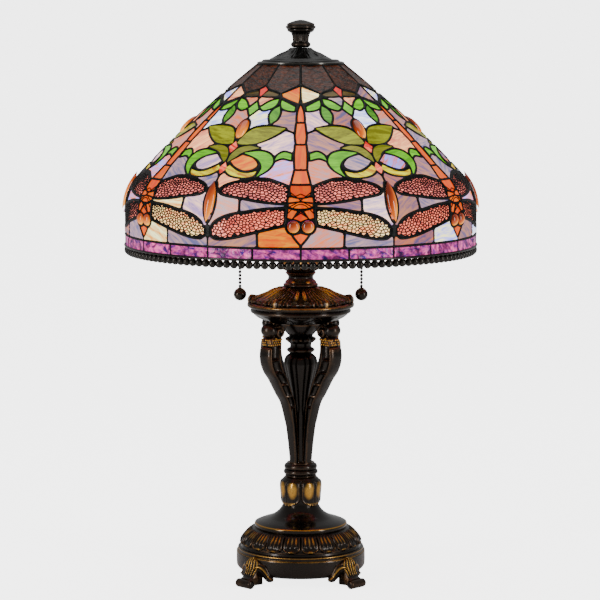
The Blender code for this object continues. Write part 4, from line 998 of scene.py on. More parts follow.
def buildFiligree(panes):
    spots = random.Random(5)
    bm = bmesh.new()
    for name, glass, across, loop in panes:
        if glass != "wing":
            continue
        cells = wingCells(loop, spots)
        verts, faces = triangulated([loop] + cells, [], [])
        keep = within(verts, faces, [loop]) & ~within(verts, faces, cells)
        faces = [f for f, k in zip(faces, keep) if k]
        rims = {}
        for f in faces:
            for a, b in zip(f, f[1:] + f[:1]):
                rims[(a, b)] = True
        rims = [e for e in rims if (e[1], e[0]) not in rims]
        base = shadeForm["glassLift"] - 0.55
        for turn in range(0, 360, 60):
            for side in (1, -1):
                top = [bm.verts.new(onShade(turn + side * t, a, base + filigree["stand"])) for t, a in verts]
                low = [bm.verts.new(onShade(turn + side * t, a, base)) for t, a in verts]
                for f in faces:
                    order = f if side > 0 else tuple(reversed(f))
                    bm.faces.new([top[i] for i in order])
                    bm.faces.new([low[i] for i in reversed(order)])
                for a, b in rims:
                    ring = (top[b], top[a], low[a], low[b])
                    bm.faces.new(ring if side > 0 else ring[::-1])
    dropLoose(bm)
    bmesh.ops.recalc_face_normals(bm, faces=bm.faces)
    piece = finished("wingFiligree", bm, "filigree", "shade")
    # the net laced over each thorax
    bm = bmesh.new()
    for turn in range(0, 360, 60):
        for side in (1, -1):
            for run in filigree["thorax"]:
                path = [onShade(turn + side * t, a, 0.5) for t, a in smoothRun(run, False, 1.5)]
                sweepTube(bm, path, 0.62, 6)
    bmesh.ops.recalc_face_normals(bm, faces=bm.faces)
    finished("thoraxNet", bm, "filigree", "shade", smooth=60.0)
    print("filigree triangles", sum(len(p.vertices) - 2 for p in piece.data.polygons))


def curved(points, step):
    # a smooth section through (radius, height) points in mm; a third number marks a corner
    marks = sorted({0, len(points) - 1, *(i for i, p in enumerate(points) if len(p) == 3)})
    out = []
    for first, last in zip(marks, marks[1:]):
        run = [p[:2] for p in points[first:last + 1]]
        for i in range(len(run) - 1):
            at = [run[min(max(i + k, 0), len(run) - 1)] for k in (-1, 0, 1, 2)]
            pieces = max(1, round(math.dist(at[1], at[2]) / step)) if len(run) > 2 else 1
            out += [between(at, n / pieces) for n in range(pieces)]
    return out + [tuple(points[-1][:2])]


def hill(x, middle, width):
    return math.exp(-((x - middle) / width) ** 2)


def folded(angle, period, offset=0.0):
    # an angle from the middle of the nearest repeat
    return (angle - offset + period / 2.0) % period - period / 2.0


def lathe(bm, points, segments, step=1.2, relief=None, origin=(0.0, 0.0)):
    # a section turned round an upright axis, then given relief, which takes the angle from the front,
    # the radius and the height, and gives how far out in mm and how gilt
    gilt = bm.verts.layers.float.get("gilt") or bm.verts.layers.float.new("gilt")
    section = curved(points, step)
    closed = math.dist(section[0], section[-1]) < 1e-6
    if closed:
        section = section[:-1]
    count = len(section)
    normals = []
    for i, (r, z) in enumerate(section):
        before = section[i - 1] if closed or i else section[i]
        after = section[(i + 1) % count] if closed or i < count - 1 else section[i]
        size = math.dist(before, after) or 1.0
        normals.append(((after[1] - before[1]) / size, (before[0] - after[0]) / size))
    old = set(bm.verts)
    made = [bm.verts.new((r * mm, 0.0, z * mm)) for r, z in section]
    edges = [bm.edges.new(pair) for pair in zip(made, made[1:] + (made[:1] if closed else []))]
    bmesh.ops.spin(bm, geom=made + edges, cent=(0, 0, 0), axis=(0, 0, 1), dvec=(0, 0, 0), angle=math.tau,
                   steps=segments, use_merge=True)
    bmesh.ops.remove_doubles(bm, verts=[v for v in bm.verts if v not in old], dist=0.000004)
    fresh = [v for v in bm.verts if v not in old]
    bmesh.ops.recalc_face_normals(bm, faces=list({f for v in fresh for f in v.link_faces}))
    if relief:
        spots = np.array([(math.hypot(v.co.x, v.co.y), v.co.z) for v in fresh]) / mm
        nearest = ((spots[:, None, :] - np.array(section)[None]) ** 2).sum(2).argmin(1)
        for v, (r, z), i in zip(fresh, spots, nearest):
            if r < 0.01:
                continue
            out, v[gilt] = relief(math.degrees(math.atan2(v.co.x, -v.co.y)), r, z)
            v.co.x *= (r + normals[i][0] * out) / r
            v.co.y *= (r + normals[i][0] * out) / r
            v.co.z += normals[i][1] * out * mm
    bmesh.ops.translate(bm, verts=fresh, vec=Vector((*origin, 0.0)) * mm)


def markWear(bm):
    # how far each point stands out from those round it, for rubbed edges
    wear = bm.verts.layers.float.get("wear") or bm.verts.layers.float.new("wear")
    bm.normal_update()
    raw = {}
    for v in bm.verts:
        if v.link_edges:
            raw[v] = -sum((e.other_vert(v).co - v.co).normalized().dot(v.normal)
                          for e in v.link_edges) / len(v.link_edges)
    for v, value in raw.items():
        near = [raw[e.other_vert(v)] for e in v.link_edges]
        v[wear] = (value * 1.4 + sum(near) / len(near)) / 2.4


def metalPiece(name, bm, node, body, slotName="antique_bronze", finish="bronze", smooth=50.0):
    markWear(bm)
    finished(name, bm, finish, body, [node], smooth)


def turnedPiece(name, node, body, points, segments=96, step=1.2, relief=None, origin=(0.0, 0.0), **more):
    bm = bmesh.new()
    lathe(bm, points, segments, step, relief, origin)
    metalPiece(name, bm, node, body, **more)


def leafBand(angle, r, z):
    # twenty lobed leaves round the shoulder, ribbed, edged and with a turned tip
    if r > 74.0 and z < 38.5:
        return 0.0, 0.8 * max(hill(z, 33.0, 0.5), hill(z, 36.6, 0.5))
    if r < 54.0 or not 41.8 < z < 60.7:
        return 0.0, 0.0
    t = (z - 42.2) / 18.2
    a = folded(angle, 18.0, 9.0)
    width = 8.3 * math.sqrt(max(0.02, 1.0 - max(0.0, (0.34 - t) / 0.34) ** 2)) * (1.0 - 0.16 * max(0.0, t - 0.5))
    e = abs(a) / width
    fade = min(1.0, max(0.0, (0.98 - t) / 0.08), max(0.0, (t + 0.02) / 0.05))
    edge = 1.25 * hill(e, 0.92, 0.13)
    ribs = sum(hill(a, k * width * 0.52, 1.15) for k in (-1, 0, 1)) * min(1.0, max(0.0, (t - 0.26) / 0.15))
    ground = -1.5 if e > 1.08 else -0.5 if e < 0.8 else 0.0
    tip = 1.9 * hill(t, 0.07, 0.075) * hill(a, 0.0, 3.6)
    gold = 0.85 * ribs * hill(t, 0.7, 0.26) + 0.4 * edge * hill(t, 0.1, 0.25) + 0.4 * tip
    return (edge + 1.3 * ribs + ground + tip) * fade, min(1.0, gold) * fade


def bellLine(angle, r, z):
    return 0.0, hill(math.hypot(r - 55.2, z - 66.5), 0.0, 1.1)


def petals(angle, r, z):
    if r < 18.5 or z < 88.9:
        return 0.0, 0.0
    a = folded(angle, 90.0, 45.0)
    width = 43.5 * math.sqrt(max(0.01, 1.0 - max(0.0, (98.0 - z) / 8.6) ** 2)) if z < 98.0 else 43.5
    e = width - abs(a)
    fade = min(1.0, max(0.0, (119.5 - z) / 3.0))
    lobe = hill(abs(a), 20.0, 14.0) * hill(z, 108.5, 14.0)
    edge = hill(e, 3.4, 2.3)
    rib = hill(a, 0.0, 2.2)
    out = 1.5 * lobe + 0.9 * edge - 0.7 * rib - (1.9 if e < 0.5 else 0.0) + 0.4 * hill(abs(a), 5.0, 1.8)
    gold = lobe * 1.35 * hill(z, 108.5, 14.0) + 0.22 * edge + 0.5 * hill(z, 91.0, 2.2) * (e > 0)
    return out * fade, min(1.0, gold) * fade


def vaseLobes(angle, r, z):
    if 286.0 < z < 292.0:
        return 0.9 * math.cos(math.radians(angle * 12.0)) * hill(z, 289.0, 2.0), 0.15
    if not 196.0 < z < 271.0:
        return 0.0, 0.0
    fade = min(1.0, (z - 196.0) / 14.0, (271.0 - z) / 5.0)
    return fade * (1.5 * abs(math.cos(math.radians(angle * 4.0))) ** 0.7 - 0.8), 0.0


def plateLobes(angle, r, z):
    if z > 326.4 and r > 58.0:
        return 0.0, 0.55 * hill(z, 331.4, 1.3)
    if z > 319.8 or r < 26.0:
        return 0.0, 0.0
    return 1.5 * math.cos(math.radians(angle * 8.0)) * hill(r, 46.0, 12.0), 0.12


def acanthus(angle, r, z):
    # six leaves with turned tips, and a pair of gilt ovals between each two
    if z < 334.4 or r < 22.0:
        return 0.0, 0.0
    a = folded(angle, 60.0)
    t = (r - 22.0) / 37.5
    fade = min(1.0, max(0.0, (r - 22.0) / 3.0))
    pair = max(hill(a, k * 6.0, 2.9) for k in (-1, 1)) * hill(t, 0.42, 0.3)
    seed = hill(a, 0.0, 1.5) * hill(t, 0.55, 0.35)
    b = 30.0 - abs(a)
    vein = hill(b, 0.0, 1.6)
    lean = b + t * 4.0
    ribs = 0.5 + 0.5 * math.cos(math.radians(lean / 4.6 * 360.0))
    leaf = 1.0 if abs(a) > 11.5 else 0.0
    bite = leaf * ribs * (0.75 + 0.45 * t)
    tip = 3.0 * hill(b, 0.0, 5.0) * hill(r, 57.0, 3.6)
    frill = 1.1 * hill(r, 58.5, 2.4) * math.cos(math.radians(angle * 24.0))
    out = fade * (2.1 * pair + 1.0 * seed + 1.4 * bite + 0.9 * vein + tip + frill - 0.8)
    return out, min(1.0, fade * (1.5 * pair + 0.85 * bite * (1.0 - 0.65 * t) + 0.3 * seed + 0.04 * tip))


def budLeaves(angle, r, z):
    if z < 373.0 or r < 15.0:
        return 0.0, 0.0
    t = min(1.0, (z - 373.0) / 25.0)
    a = folded(angle, 30.0)
    b = folded(angle, 30.0, 15.0)
    leaf = hill(abs(a), 9.5, 2.2) * (1.0 - 0.4 * t)
    rib = hill(a, 0.0, 2.2)
    lower = hill(b, 0.0, 5.5) * hill(t, 0.3, 0.25)
    return 1.1 * leaf + 0.9 * rib + 1.3 * lower - 0.6, min(1.0, (0.9 * leaf + 0.8 * rib + lower) * hill(t, 0.3, 0.3))


def neckOvals(angle, r, z):
    if z < 353.0 or r < 14.0:
        return 0.0, 0.0
    spot = hill(folded(angle, 60.0, 30.0), 0.0, 9.0) * hill(z, 358.4, 1.5)
    return 0.9 * spot, spot


def capLeaves(angle, r, z):
    if z < 622.5 or not 12.5 < r < 35.0:
        return 0.0, 0.0
    a = folded(angle, 36.0)
    t = (r - 12.5) / 22.5
    leaf = math.cos(math.radians(a * 10.0 + t * 240.0)) * math.sin(math.pi * t)
    return 0.75 * leaf + 0.8 * hill(abs(a), 14.0, 2.4) * math.sin(math.pi * t), 0.0


def flutes(angle, r, z):
    if 642.8 < z < 653.0 and r > 8.0:
        fade = min(1.0, (z - 642.8) / 1.2, (653.0 - z) / 1.2)
        return -0.95 * (0.5 + 0.5 * math.cos(math.radians(angle * 16.0))) * fade, 0.0
    return 0.0, 0.0


turnings = {
    # piece: (CAD node, body, turns, spacing, relief, section)
    "baseCasting": ("base_plinth", "root", 480, 0.95, leafBand, [
        (71.0, 12.0, c), (73.6, 12.0, c), (76.4, 14.4), (77.5, 18.5), (77.5, 31.0), (77.2, 32.8, c),
        (75.5, 33.4, c), (75.2, 34.8, c), (75.9, 35.8), (75.4, 37.4), (74.2, 37.8, c), (72.4, 38.4, c),
        (71.6, 40.6, c), (72.6, 42.4), (71.6, 46.4), (68.6, 51.0), (64.0, 55.6), (59.2, 59.2), (57.0, 60.4, c),
        (55.6, 61.0, c), (6.2, 61.0, c), (6.2, 57.4, c), (50.0, 57.4, c), (61.0, 51.5), (67.6, 41.0), (70.8, 30.0),
        (71.0, 12.0, c)]),
    "bellNeck": ("bell_neck", "root", 128, 1.0, bellLine, [
        (6.4, 61.3, c), (55.0, 61.3, c), (55.6, 62.2), (55.8, 65.4), (55.2, 66.6, c), (53.8, 67.3, c), (49.0, 69.2),
        (42.6, 71.3), (38.1, 72.9), (33.4, 75.3), (29.6, 77.9), (26.8, 80.3), (24.6, 83.0), (22.4, 86.4),
        (20.6, 90.0, c), (6.4, 90.0, c), (6.4, 61.3, c)]),
    "petalCollar": ("petal_collar", "root", 288, 0.9, petals, [
        (6.4, 90.3, c), (20.9, 90.3, c), (21.6, 88.8, c), (22.8, 89.6), (23.2, 93.0), (23.4, 100.0), (24.0, 108.0),
        (24.2, 113.0), (23.2, 117.4), (21.0, 120.2), (19.6, 121.8, c), (6.4, 121.8, c), (6.4, 90.3, c)]),
    "ringMoulding": ("ring_moulding", "root", 96, 0.9, None, [
        (6.4, 122.1, c), (17.8, 122.1, c), (18.8, 123.6), (18.0, 125.0, c), (19.0, 125.4, c), (20.5, 127.2),
        (20.4, 129.4), (19.2, 131.0, c), (18.2, 131.4, c), (19.5, 132.8), (19.8, 135.0), (18.8, 137.2),
        (16.8, 138.4, c), (16.4, 139.6, c), (6.4, 139.6, c), (6.4, 122.1, c)]),
    "baluster": ("baluster", "root", 128, 1.4, vaseLobes, [
        (6.4, 139.9, c), (8.0, 139.9, c), (8.2, 196.0), (9.4, 210.0), (12.4, 226.0), (16.4, 243.0), (19.2, 256.0),
        (19.3, 262.0), (17.2, 268.0), (12.6, 272.2, c), (14.0, 272.8, c), (16.6, 275.0), (16.2, 277.2),
        (13.2, 278.8, c), (12.6, 281.0), (13.0, 284.0, c), (15.4, 285.4), (17.6, 288.2), (17.0, 290.4),
        (13.6, 292.0, c), (15.0, 294.0), (18.2, 297.6), (21.2, 302.0), (23.2, 306.0), (23.9, 307.9, c),
        (6.4, 307.9, c), (6.4, 139.9, c)]),
    "capitalPlate": ("capital_plate", "root", 192, 1.2, plateLobes, [
        (6.4, 308.2, c), (24.0, 308.2, c), (38.0, 310.8), (50.0, 315.6), (57.0, 320.4, c), (59.4, 321.4),
        (60.2, 323.6), (59.0, 326.0, c), (60.2, 327.0, c), (63.2, 328.2), (64.0, 330.6), (63.2, 332.6),
        (61.4, 333.2, c), (6.4, 333.2, c), (6.4, 308.2, c)]),
    "acanthusDome": ("acanthus_dome", "root", 420, 1.0, acanthus, [
        (6.4, 333.5, c), (57.6, 333.5, c), (58.8, 334.6), (58.9, 336.6), (56.0, 338.6), (50.0, 341.0),
        (42.0, 344.4), (33.5, 348.2), (26.4, 351.0), (22.0, 352.0, c), (6.4, 352.0, c), (6.4, 333.5, c)]),
    "neckRing": ("neck_ring", "root", 144, 0.8, neckOvals, [
        (6.4, 352.3, c), (19.8, 352.3, c), (20.8, 353.6), (20.4, 355.4), (18.6, 356.4, c), (18.0, 357.6),
        (16.2, 360.0), (15.0, 362.6), (15.2, 364.8), (16.6, 366.4, c), (17.0, 367.3, c), (6.4, 367.3, c),
        (6.4, 352.3, c)]),
    "budCup": ("bud_cup", "root", 240, 0.9, budLeaves, [
        (6.4, 367.6, c), (17.4, 367.6, c), (18.2, 368.6), (17.6, 369.8, c), (16.6, 370.4, c), (19.4, 371.8),
        (22.8, 374.6), (24.6, 379.0), (24.8, 386.0), (24.0, 393.0), (22.8, 398.6, c), (20.0, 398.6, c),
        (19.0, 394.0, c), (6.4, 394.0, c), (6.4, 367.6, c)]),
    "shadeCap": ("shade_cap", "shade", 240, 0.9, capLeaves, [
        (50.4, 616.6, c), (51.6, 617.2, c), (51.7, 618.6, c), (49.0, 619.6, c), (47.6, 618.9), (46.6, 619.5, c),
        (45.0, 621.3), (43.0, 621.9), (40.6, 621.0), (39.2, 620.2, c), (38.2, 620.4, c), (37.0, 622.2),
        (35.4, 623.4, c), (30.0, 625.2), (23.0, 628.4), (16.6, 632.2), (12.4, 635.8, c), (6.0, 635.8, c),
        (6.0, 632.6, c), (20.0, 626.4), (36.0, 619.0), (50.4, 616.6, c)]),
    "finialTurning": ("finial", "finial", 128, 0.7, flutes, [
        (0.0, 652.0, c), (5.3, 652.0, c), (5.3, 636.1, c), (9.4, 636.1, c), (10.8, 637.2), (11.8, 639.2),
        (11.0, 641.4), (9.6, 642.4, c), (9.7, 645.0), (10.1, 648.0), (10.8, 651.0), (11.9, 653.3, c),
        (13.8, 654.0, c), (15.8, 655.8), (15.9, 657.4, c), (16.8, 658.2, c), (17.9, 659.8), (17.2, 661.3, c),
        (16.0, 661.8, c), (16.5, 663.2), (15.3, 664.4, c), (10.0, 666.5), (4.5, 668.1), (0.0, 668.6, c)]),
}


# the finish of the pieces that aren't plain bronze
turnedFinish = {"shadeCap": "cap", "bellNeck": "polished"}


def buildTurnings():
    for name, (node, body, segments, step, relief, section) in turnings.items():
        turnedPiece(name, node, body, section, segments, step, relief, finish=turnedFinish.get(name, "bronze"))
    print("turned bronze made")


# the arms and feet are shaped along +X, then turned to their places
corners = {name: Matrix.Rotation(math.radians(turn), 4, "Z") for name, turn in (
    ("front_right", -45.0), ("back_right", 45.0), ("back_left", 135.0), ("front_left", 225.0))}
arm = {     # sections are (height, radius) or (share of the depth, share of the half width)
    "outer": [(139.9, 14.6), (146.0, 14.9), (156.0, 15.8), (166.0, 16.8), (176.0, 18.2), (185.0, 19.5),
              (195.0, 22.4), (205.0, 25.3), (215.0, 29.1), (224.0, 35.4), (234.0, 41.8), (244.0, 48.1),
              (253.0, 55.2), (263.0, 59.8), (272.0, 61.3), (277.0, 61.0)],
    "bars": [(268.0, 1.5), (252.0, 1.5), (237.0, 1.5), (222.0, 1.4), (208.0, 1.3)],
    "section": [(0.0, 0.0), (0.01, 0.5), (0.04, 0.8), (0.09, 0.96), (0.15, 1.0), (0.2, 0.95), (0.225, 0.8),
                (0.235, 0.5), (0.34, 0.36), (0.72, 0.36), (0.81, 0.48), (0.84, 0.82), (0.88, 0.92), (0.94, 0.86),
                (0.985, 0.56), (1.0, 0.0)],
    "roll": (52.8, 303.6, 9.2, 10.6),      # radius out, height, its own radius, half length
    "scroll": (43.0, 301.4, 7.2, 8.6),     # radius out, height, its own radius, how far aside
}


def sampled(table, x):
    for (x0, y0), (x1, y1) in zip(table, table[1:]):
        if x <= x1:
            t = max(0.0, (x - x0) / (x1 - x0))
            return y0 + (y1 - y0) * t
    return table[-1][1]


def armStations():
    smoothOuter = [tuple(p) for p in curved([(z, r) for z, r in arm["outer"]], 1.5)]
    out = []
    for z, r in smoothOuter:
        reach = min(1.0, max(0.0, (z - 176.0) / 84.0))
        depth = 7.6 + 13.4 * reach * reach * (3.0 - 2.0 * reach)
        out.append((z, r, depth, 4.9 + 5.0 * min(1.0, max(0.0, (z - 140.0) / 125.0)), 1.0))
    # shoulder, the beaded band, its neck and the head
    out += [(281.0, 60.8, 20.8, 9.7, 1.0), (283.6, 59.4, 19.8, 9.0, 1.0), (284.4, 57.4, 18.0, 7.8, 0.0),
            (285.0, 58.0, 18.8, 8.6, 0.0), (286.6, 58.4, 19.4, 9.0, 0.0), (289.6, 58.6, 19.6, 9.0, 0.0),
            (292.8, 58.0, 19.2, 8.8, 0.0), (294.6, 56.4, 17.8, 8.0, 0.0), (296.0, 54.6, 19.4, 7.6, 0.0),
            (298.6, 53.0, 20.4, 7.4, 0.0), (302.6, 52.4, 21.0, 7.6, 0.0), (305.4, 53.6, 23.0, 8.6, 0.0),
            (307.9, 55.6, 26.0, 10.0, 0.0)]
    return out


def armRing(bm, station, turned):
    z, r, depth, half, hollow = station
    bar = sum(hill(z, middle, wide) for middle, wide in arm["bars"]) if hollow else 1.0
    side = []
    for share, wide in arm["section"]:
        if 0.3 < share < 0.82 and wide < 0.6:
            wide += (0.82 - wide) * min(1.0, bar)
        side.append((share * depth, wide * half))
    ring = side + [(x, -y) for x, y in reversed(side[1:-1])]
    return [bm.verts.new(turned @ Vector(((r - x) * mm, y * mm, z * mm))) for x, y in ring]


def barrel(bm, radius, half, matrix, facets=28):
    # a round-ended roll
    old = set(bm.verts)
    bmesh.ops.create_cone(bm, cap_ends=True, segments=facets, radius1=radius * mm, radius2=radius * mm,
                          depth=half * 2.0 * mm)
    ends = [f for f in {f for v in bm.verts if v not in old for f in v.link_faces} if len(f.verts) > 4]
    bmesh.ops.bevel(bm, geom=list({e for f in ends for e in f.edges}), offset=radius * 0.5 * mm, offset_type="OFFSET",
                    segments=5, profile=0.5, affect="EDGES", material=-1)
    bmesh.ops.transform(bm, matrix=matrix, verts=[v for v in bm.verts if v not in old])


def sweepTube(bm, path, radius, facets=8):
    # a round bar along a path, its ends closed
    rings = []
    for i, here in enumerate(path):
        run = (path[min(i + 1, len(path) - 1)] - path[max(i - 1, 0)]).normalized()
        side = run.cross(Vector((0.0, 0.0, 1.0)) if abs(run.z) < 0.9 else Vector((1.0, 0.0, 0.0))).normalized()
        up = side.cross(run)
        if rings:
            # keeps the ring from twisting on its way
            before = (rings[-1][0].co - path[i - 1]).normalized()
            side = (before - run * before.dot(run)).normalized()
            up = side.cross(run)
        angles = [math.tau * n / facets for n in range(facets)]
        rings.append([bm.verts.new(here + (side * math.cos(a) + up * math.sin(a)) * radius * mm) for a in angles])
    for first, second in zip(rings, rings[1:]):
        for n in range(facets):
            bm.faces.new((first[n - 1], first[n], second[n], second[n - 1]))
    bm.faces.new(rings[0])
    bm.faces.new(rings[-1])


def buildArms():
    for name, turned in corners.items():
        bm = bmesh.new()
        gilt = bm.verts.layers.float.new("gilt")
        rings = [armRing(bm, station, turned) for station in armStations()]
        loops = [[bm.edges.new((a, b)) for a, b in zip(ring, ring[1:] + ring[:1])] for ring in rings]
        for first, second in zip(loops, loops[1:]):
            bmesh.ops.bridge_loops(bm, edges=first + second)
        for ring in (rings[0], rings[-1]):
            bm.faces.new(ring)
        out, high, radius, half = arm["roll"]
        ball = bmesh.ops.create_uvsphere(bm, u_segments=32, v_segments=20, radius=1.0)["verts"]
        for v in ball:
            v.co = turned @ (Vector((out + v.co.x * radius, v.co.z * half, high + v.co.y * radius * 0.94)) * mm)
        out, high, radius, aside = arm["scroll"]
        for k in (-1, 1):
            # a C scroll on each flank
            turns = [math.radians(60.0 + 17.0 * n) for n in range(30)]
            path = []
            for n, a in enumerate(turns):
                reach = radius * (1.0 - 0.026 * n)
                spot = Vector((out + reach * math.cos(a), k * (aside - 0.9 + 0.03 * n), high + reach * math.sin(a)))
                path.append(turned @ (spot * mm))
            sweepTube(bm, path, 1.7)
        # gilt beads round the band and up under the scroll
        for row, high in enumerate((286.8, 289.6, 292.4)):
            for n in range(-3, 4):
                side = n + 0.5 * (row % 2)
                if abs(side) <= 3.2 and (row + n) % 4 != 1:
                    addBead(bm, turned, (58.0 - 0.12 * side * side, side * 2.6, high), 1.2, gilt)
            for k in (-1, 1):
                for n in range(4):
                    addBead(bm, turned, (54.5 - n * 3.6 - (row % 2) * 1.6, k * 8.4, high), 1.25, gilt)
        for k in (-1, 1):
            for n in range(4):
                angle = math.radians(250.0 + n * 18.0)
                addBead(bm, turned, (43.6 + 9.8 * math.cos(angle), k * 7.9, 301.6 + 9.4 * math.sin(angle)), 1.3, gilt)
        bmesh.ops.recalc_face_normals(bm, faces=bm.faces)
        metalPiece("scrollArm_" + name, bm, "scroll_arm_" + name, "root", smooth=60.0)
    print("arms made")


def addBead(bm, matrix, place, radius, gilt=None):
    made = bmesh.ops.create_icosphere(bm, subdivisions=2, radius=radius * mm)["verts"]
    for v in made:
        v.co = matrix @ (v.co + Vector(place) * mm)
        if gilt is not None:
            v[gilt] = 1.0


foot = {     # paths are (radius out, height), widths (share of the path, half width)
    "path": [(92.4, 9.8), (89.6, 10.9), (86.6, 13.2), (83.8, 17.2), (81.6, 22.0), (80.2, 27.0), (79.2, 30.6),
             (77.6, 31.8)],
    "width": [(0.0, 9.4), (0.2, 8.6), (0.42, 8.2), (0.66, 10.6), (0.82, 10.2), (0.94, 7.4), (1.0, 3.6)],
    "lobePath": [(5.0, 23.0), (9.0, 24.4), (14.0, 22.4), (18.5, 17.6), (22.0, 13.4), (27.0, 11.8)],
    "roll": (93.6, 5.1, 5.1, 12.4),
}


def foldBack(bm, faces, place):
    # closes a skin with a second one behind it
    for v in bmesh.ops.extrude_face_region(bm, geom=faces)["geom"]:
        if isinstance(v, bmesh.types.BMVert):
            v.co = Vector(place(*(v.co / mm))) * mm


def buildFeet():
    for name, turned in corners.items():
        bm = bmesh.new()
        gilt = bm.verts.layers.float.new("gilt")
        path = curved(foot["path"], 0.8)
        rows = len(path)
        # a ribbed leaf climbing from the toe to the drum
        grid = bmesh.ops.create_grid(bm, x_segments=44, y_segments=rows - 1, size=1.0)["verts"]
        for v in grid:
            u, t = v.co.x, (v.co.y + 1.0) / 2.0
            i = min(int(round(t * (rows - 1))), rows - 1)
            before, after = path[max(i - 1, 0)], path[min(i + 1, rows - 1)]
            run = Vector((after[0] - before[0], after[1] - before[1])).normalized()
            half = sampled(foot["width"], t)
            ribs = sum(hill(u, k * 0.42, 0.12) for k in (-2, -1, 0, 1, 2))
            grow = min(1.0, max(0.0, (t - 0.15) / 0.2))
            lift = grow * (1.7 * ribs - 0.4) + 1.6 * (1.0 - u * u)
            v.co = Vector((path[i][0] + run.y * lift, u * half, path[i][1] - run.x * lift)) * mm
            v[gilt] = 0.8 * grow * ribs
        foldBack(bm, list(bm.faces),
                 lambda x, y, z: (min(x - 3.0, 76.0 if z > 11.6 else 90.0), y * 0.96, z if z > 11.6 else 2.0))
        out, high, radius, half = foot["roll"]
        lying = Matrix.Translation(Vector((out, 0.0, high)) * mm) @ Matrix.Rotation(math.pi / 2.0, 4, "X")
        barrel(bm, radius, half, lying, 24)
        # the sole that joins the roll to the drum
        sole = bmesh.ops.create_cube(bm, size=1.0)["verts"]
        for v in sole:
            v.co = Vector((81.0 + v.co.x * 24.0, v.co.y * (14.0 if v.co.x > 0 else 12.0),
                           6.2 + v.co.z * (7.0 if v.co.x > 0 else 11.0))) * mm
        bmesh.ops.bevel(bm, geom=list({e for v in sole for e in v.link_edges}), offset=1.6 * mm, offset_type="OFFSET",
                        segments=3, profile=0.5, affect="EDGES")
        # the side lobes that lie along the drum
        for k in (-1, 1):
            lobe = curved(foot["lobePath"], 1.0)
            strip = bmesh.ops.create_grid(bm, x_segments=12, y_segments=len(lobe) - 1, size=1.0)["verts"]
            for v in strip:
                u, t = v.co.x, (v.co.y + 1.0) / 2.0
                across, high = lobe[min(int(round(t * (len(lobe) - 1))), len(lobe) - 1)]
                half = 6.2 * math.sin(math.pi * (0.16 + 0.8 * t)) ** 0.7
                rib = hill(u, 0.45, 0.24)
                radius = 78.0 + 2.4 * (1.0 - u * u) * (1.0 - 0.6 * t) + 1.5 * rib + 4.0 * (1.0 - t) ** 2
                angle = (across + u * half * 0.3) * k / 78.0
                v.co = Vector((radius * math.cos(angle), radius * math.sin(angle),
                               max(high - 2.0 + u * half, 6.0))) * mm
                v[gilt] = 0.8 * rib
            foldBack(bm, list({f for v in strip for f in v.link_faces}),
                     lambda x, y, z: (x * 75.6 / math.hypot(x, y), y * 75.6 / math.hypot(x, y), z))
        bmesh.ops.transform(bm, matrix=turned, verts=bm.verts)
        bmesh.ops.recalc_face_normals(bm, faces=bm.faces)
        metalPiece("leafFoot_" + name, bm, "foot_" + name, "root", smooth=60.0)
    print("feet made")


fringe = {
    "beads": 144,
    "beadRadius": 4.7,
    "wireRadius": 1.5,
    "wireHeight": 403.6,
}


def buildFringe():
    bm = bmesh.new()
    low, high = nodeBox("bead_fringe")
    ring = high[0] - 3.9      # to the beads' middles
    thick = fringe["wireRadius"]
    wire = [(high[0] - 0.6 + thick * math.cos(a), fringe["wireHeight"] + thick * math.sin(a), c)
            for a in (math.radians(k * 45.0) for k in range(9))]
    lathe(bm, wire, fringe["beads"], 5.0)
    for n in range(fringe["beads"]):
        spot = Matrix.Rotation(math.tau * (n + 0.5) / fringe["beads"], 4, "Z")
        bead = bmesh.ops.create_uvsphere(bm, u_segments=10, v_segments=7, radius=fringe["beadRadius"] * mm)["verts"]
        for v in bead:
            v.co = spot @ (v.co + Vector((ring, 0.0, low[2] + 4.4)) * mm)
        neck = bmesh.ops.create_cone(bm, cap_ends=True, segments=8, radius1=1.7 * mm, radius2=3.6 * mm,
                                     depth=4.4 * mm)["verts"]
        for v in neck:
            v.co = spot @ (v.co + Vector((ring + 1.0, 0.0, low[2] + 8.6)) * mm)
    bmesh.ops.recalc_face_normals(bm, faces=bm.faces)
    metalPiece("beadFringe", bm, "bead_fringe", "shade", "patina_lead", "beadLead", 60.0)


pull = {
    "beadRadius": 1.95,
    "beadPitch": 4.3,
    "linkRadius": 0.5,
    "ballMore": 0.7,      # how far the ball stands past its CAD solid
}


def buildPulls():
    for name in ("left", "right"):
        low, high = nodeBox("pull_chain_" + name)
        x = (low[0] + high[0]) / 2.0
        bm = bmesh.new()
        top = high[2] - 1.6
        while top > low[2] + 1.0:
            addBead(bm, Matrix.Identity(4), (x, 0.0, top), pull["beadRadius"])
            top -= pull["beadPitch"]
        thin = pull["linkRadius"] * mm
        made = bmesh.ops.create_cone(bm, cap_ends=True, segments=8, radius1=thin, radius2=thin,
                                     depth=(high[2] - low[2]) * mm)["verts"]
        for v in made:
            v.co += Vector((x, 0.0, (high[2] + low[2]) / 2.0)) * mm
        metalPiece("pullChain_" + name, bm, "pull_chain_" + name, "pull_chain_" + name, "aged_brass", "solder", 60.0)
        low, high = nodeBox("pull_ball_" + name)
        r, middle = (high[0] - low[0]) / 2.0 + pull["ballMore"], (low[2] + high[2]) / 2.0
        arc = [(r * math.cos(math.radians(a)), middle + r * math.sin(math.radians(a))) for a in range(-90, 68, 12)]
        points = [(0.0, arc[0][1], c)] + arc[1:] + [(3.0, middle + r * 0.94, c), (3.1, high[2] - 0.2),
                                                    (1.9, high[2] + 0.6, c), (0.0, high[2] + 0.6, c)]
        turnedPiece("pullBall_" + name, "pull_ball_" + name, "pull_chain_" + name, points, 40, 1.2, None, (x, 0.0),
                    finish="ball")


socketReach = 45.0     # from the lamp's middle to each bulb


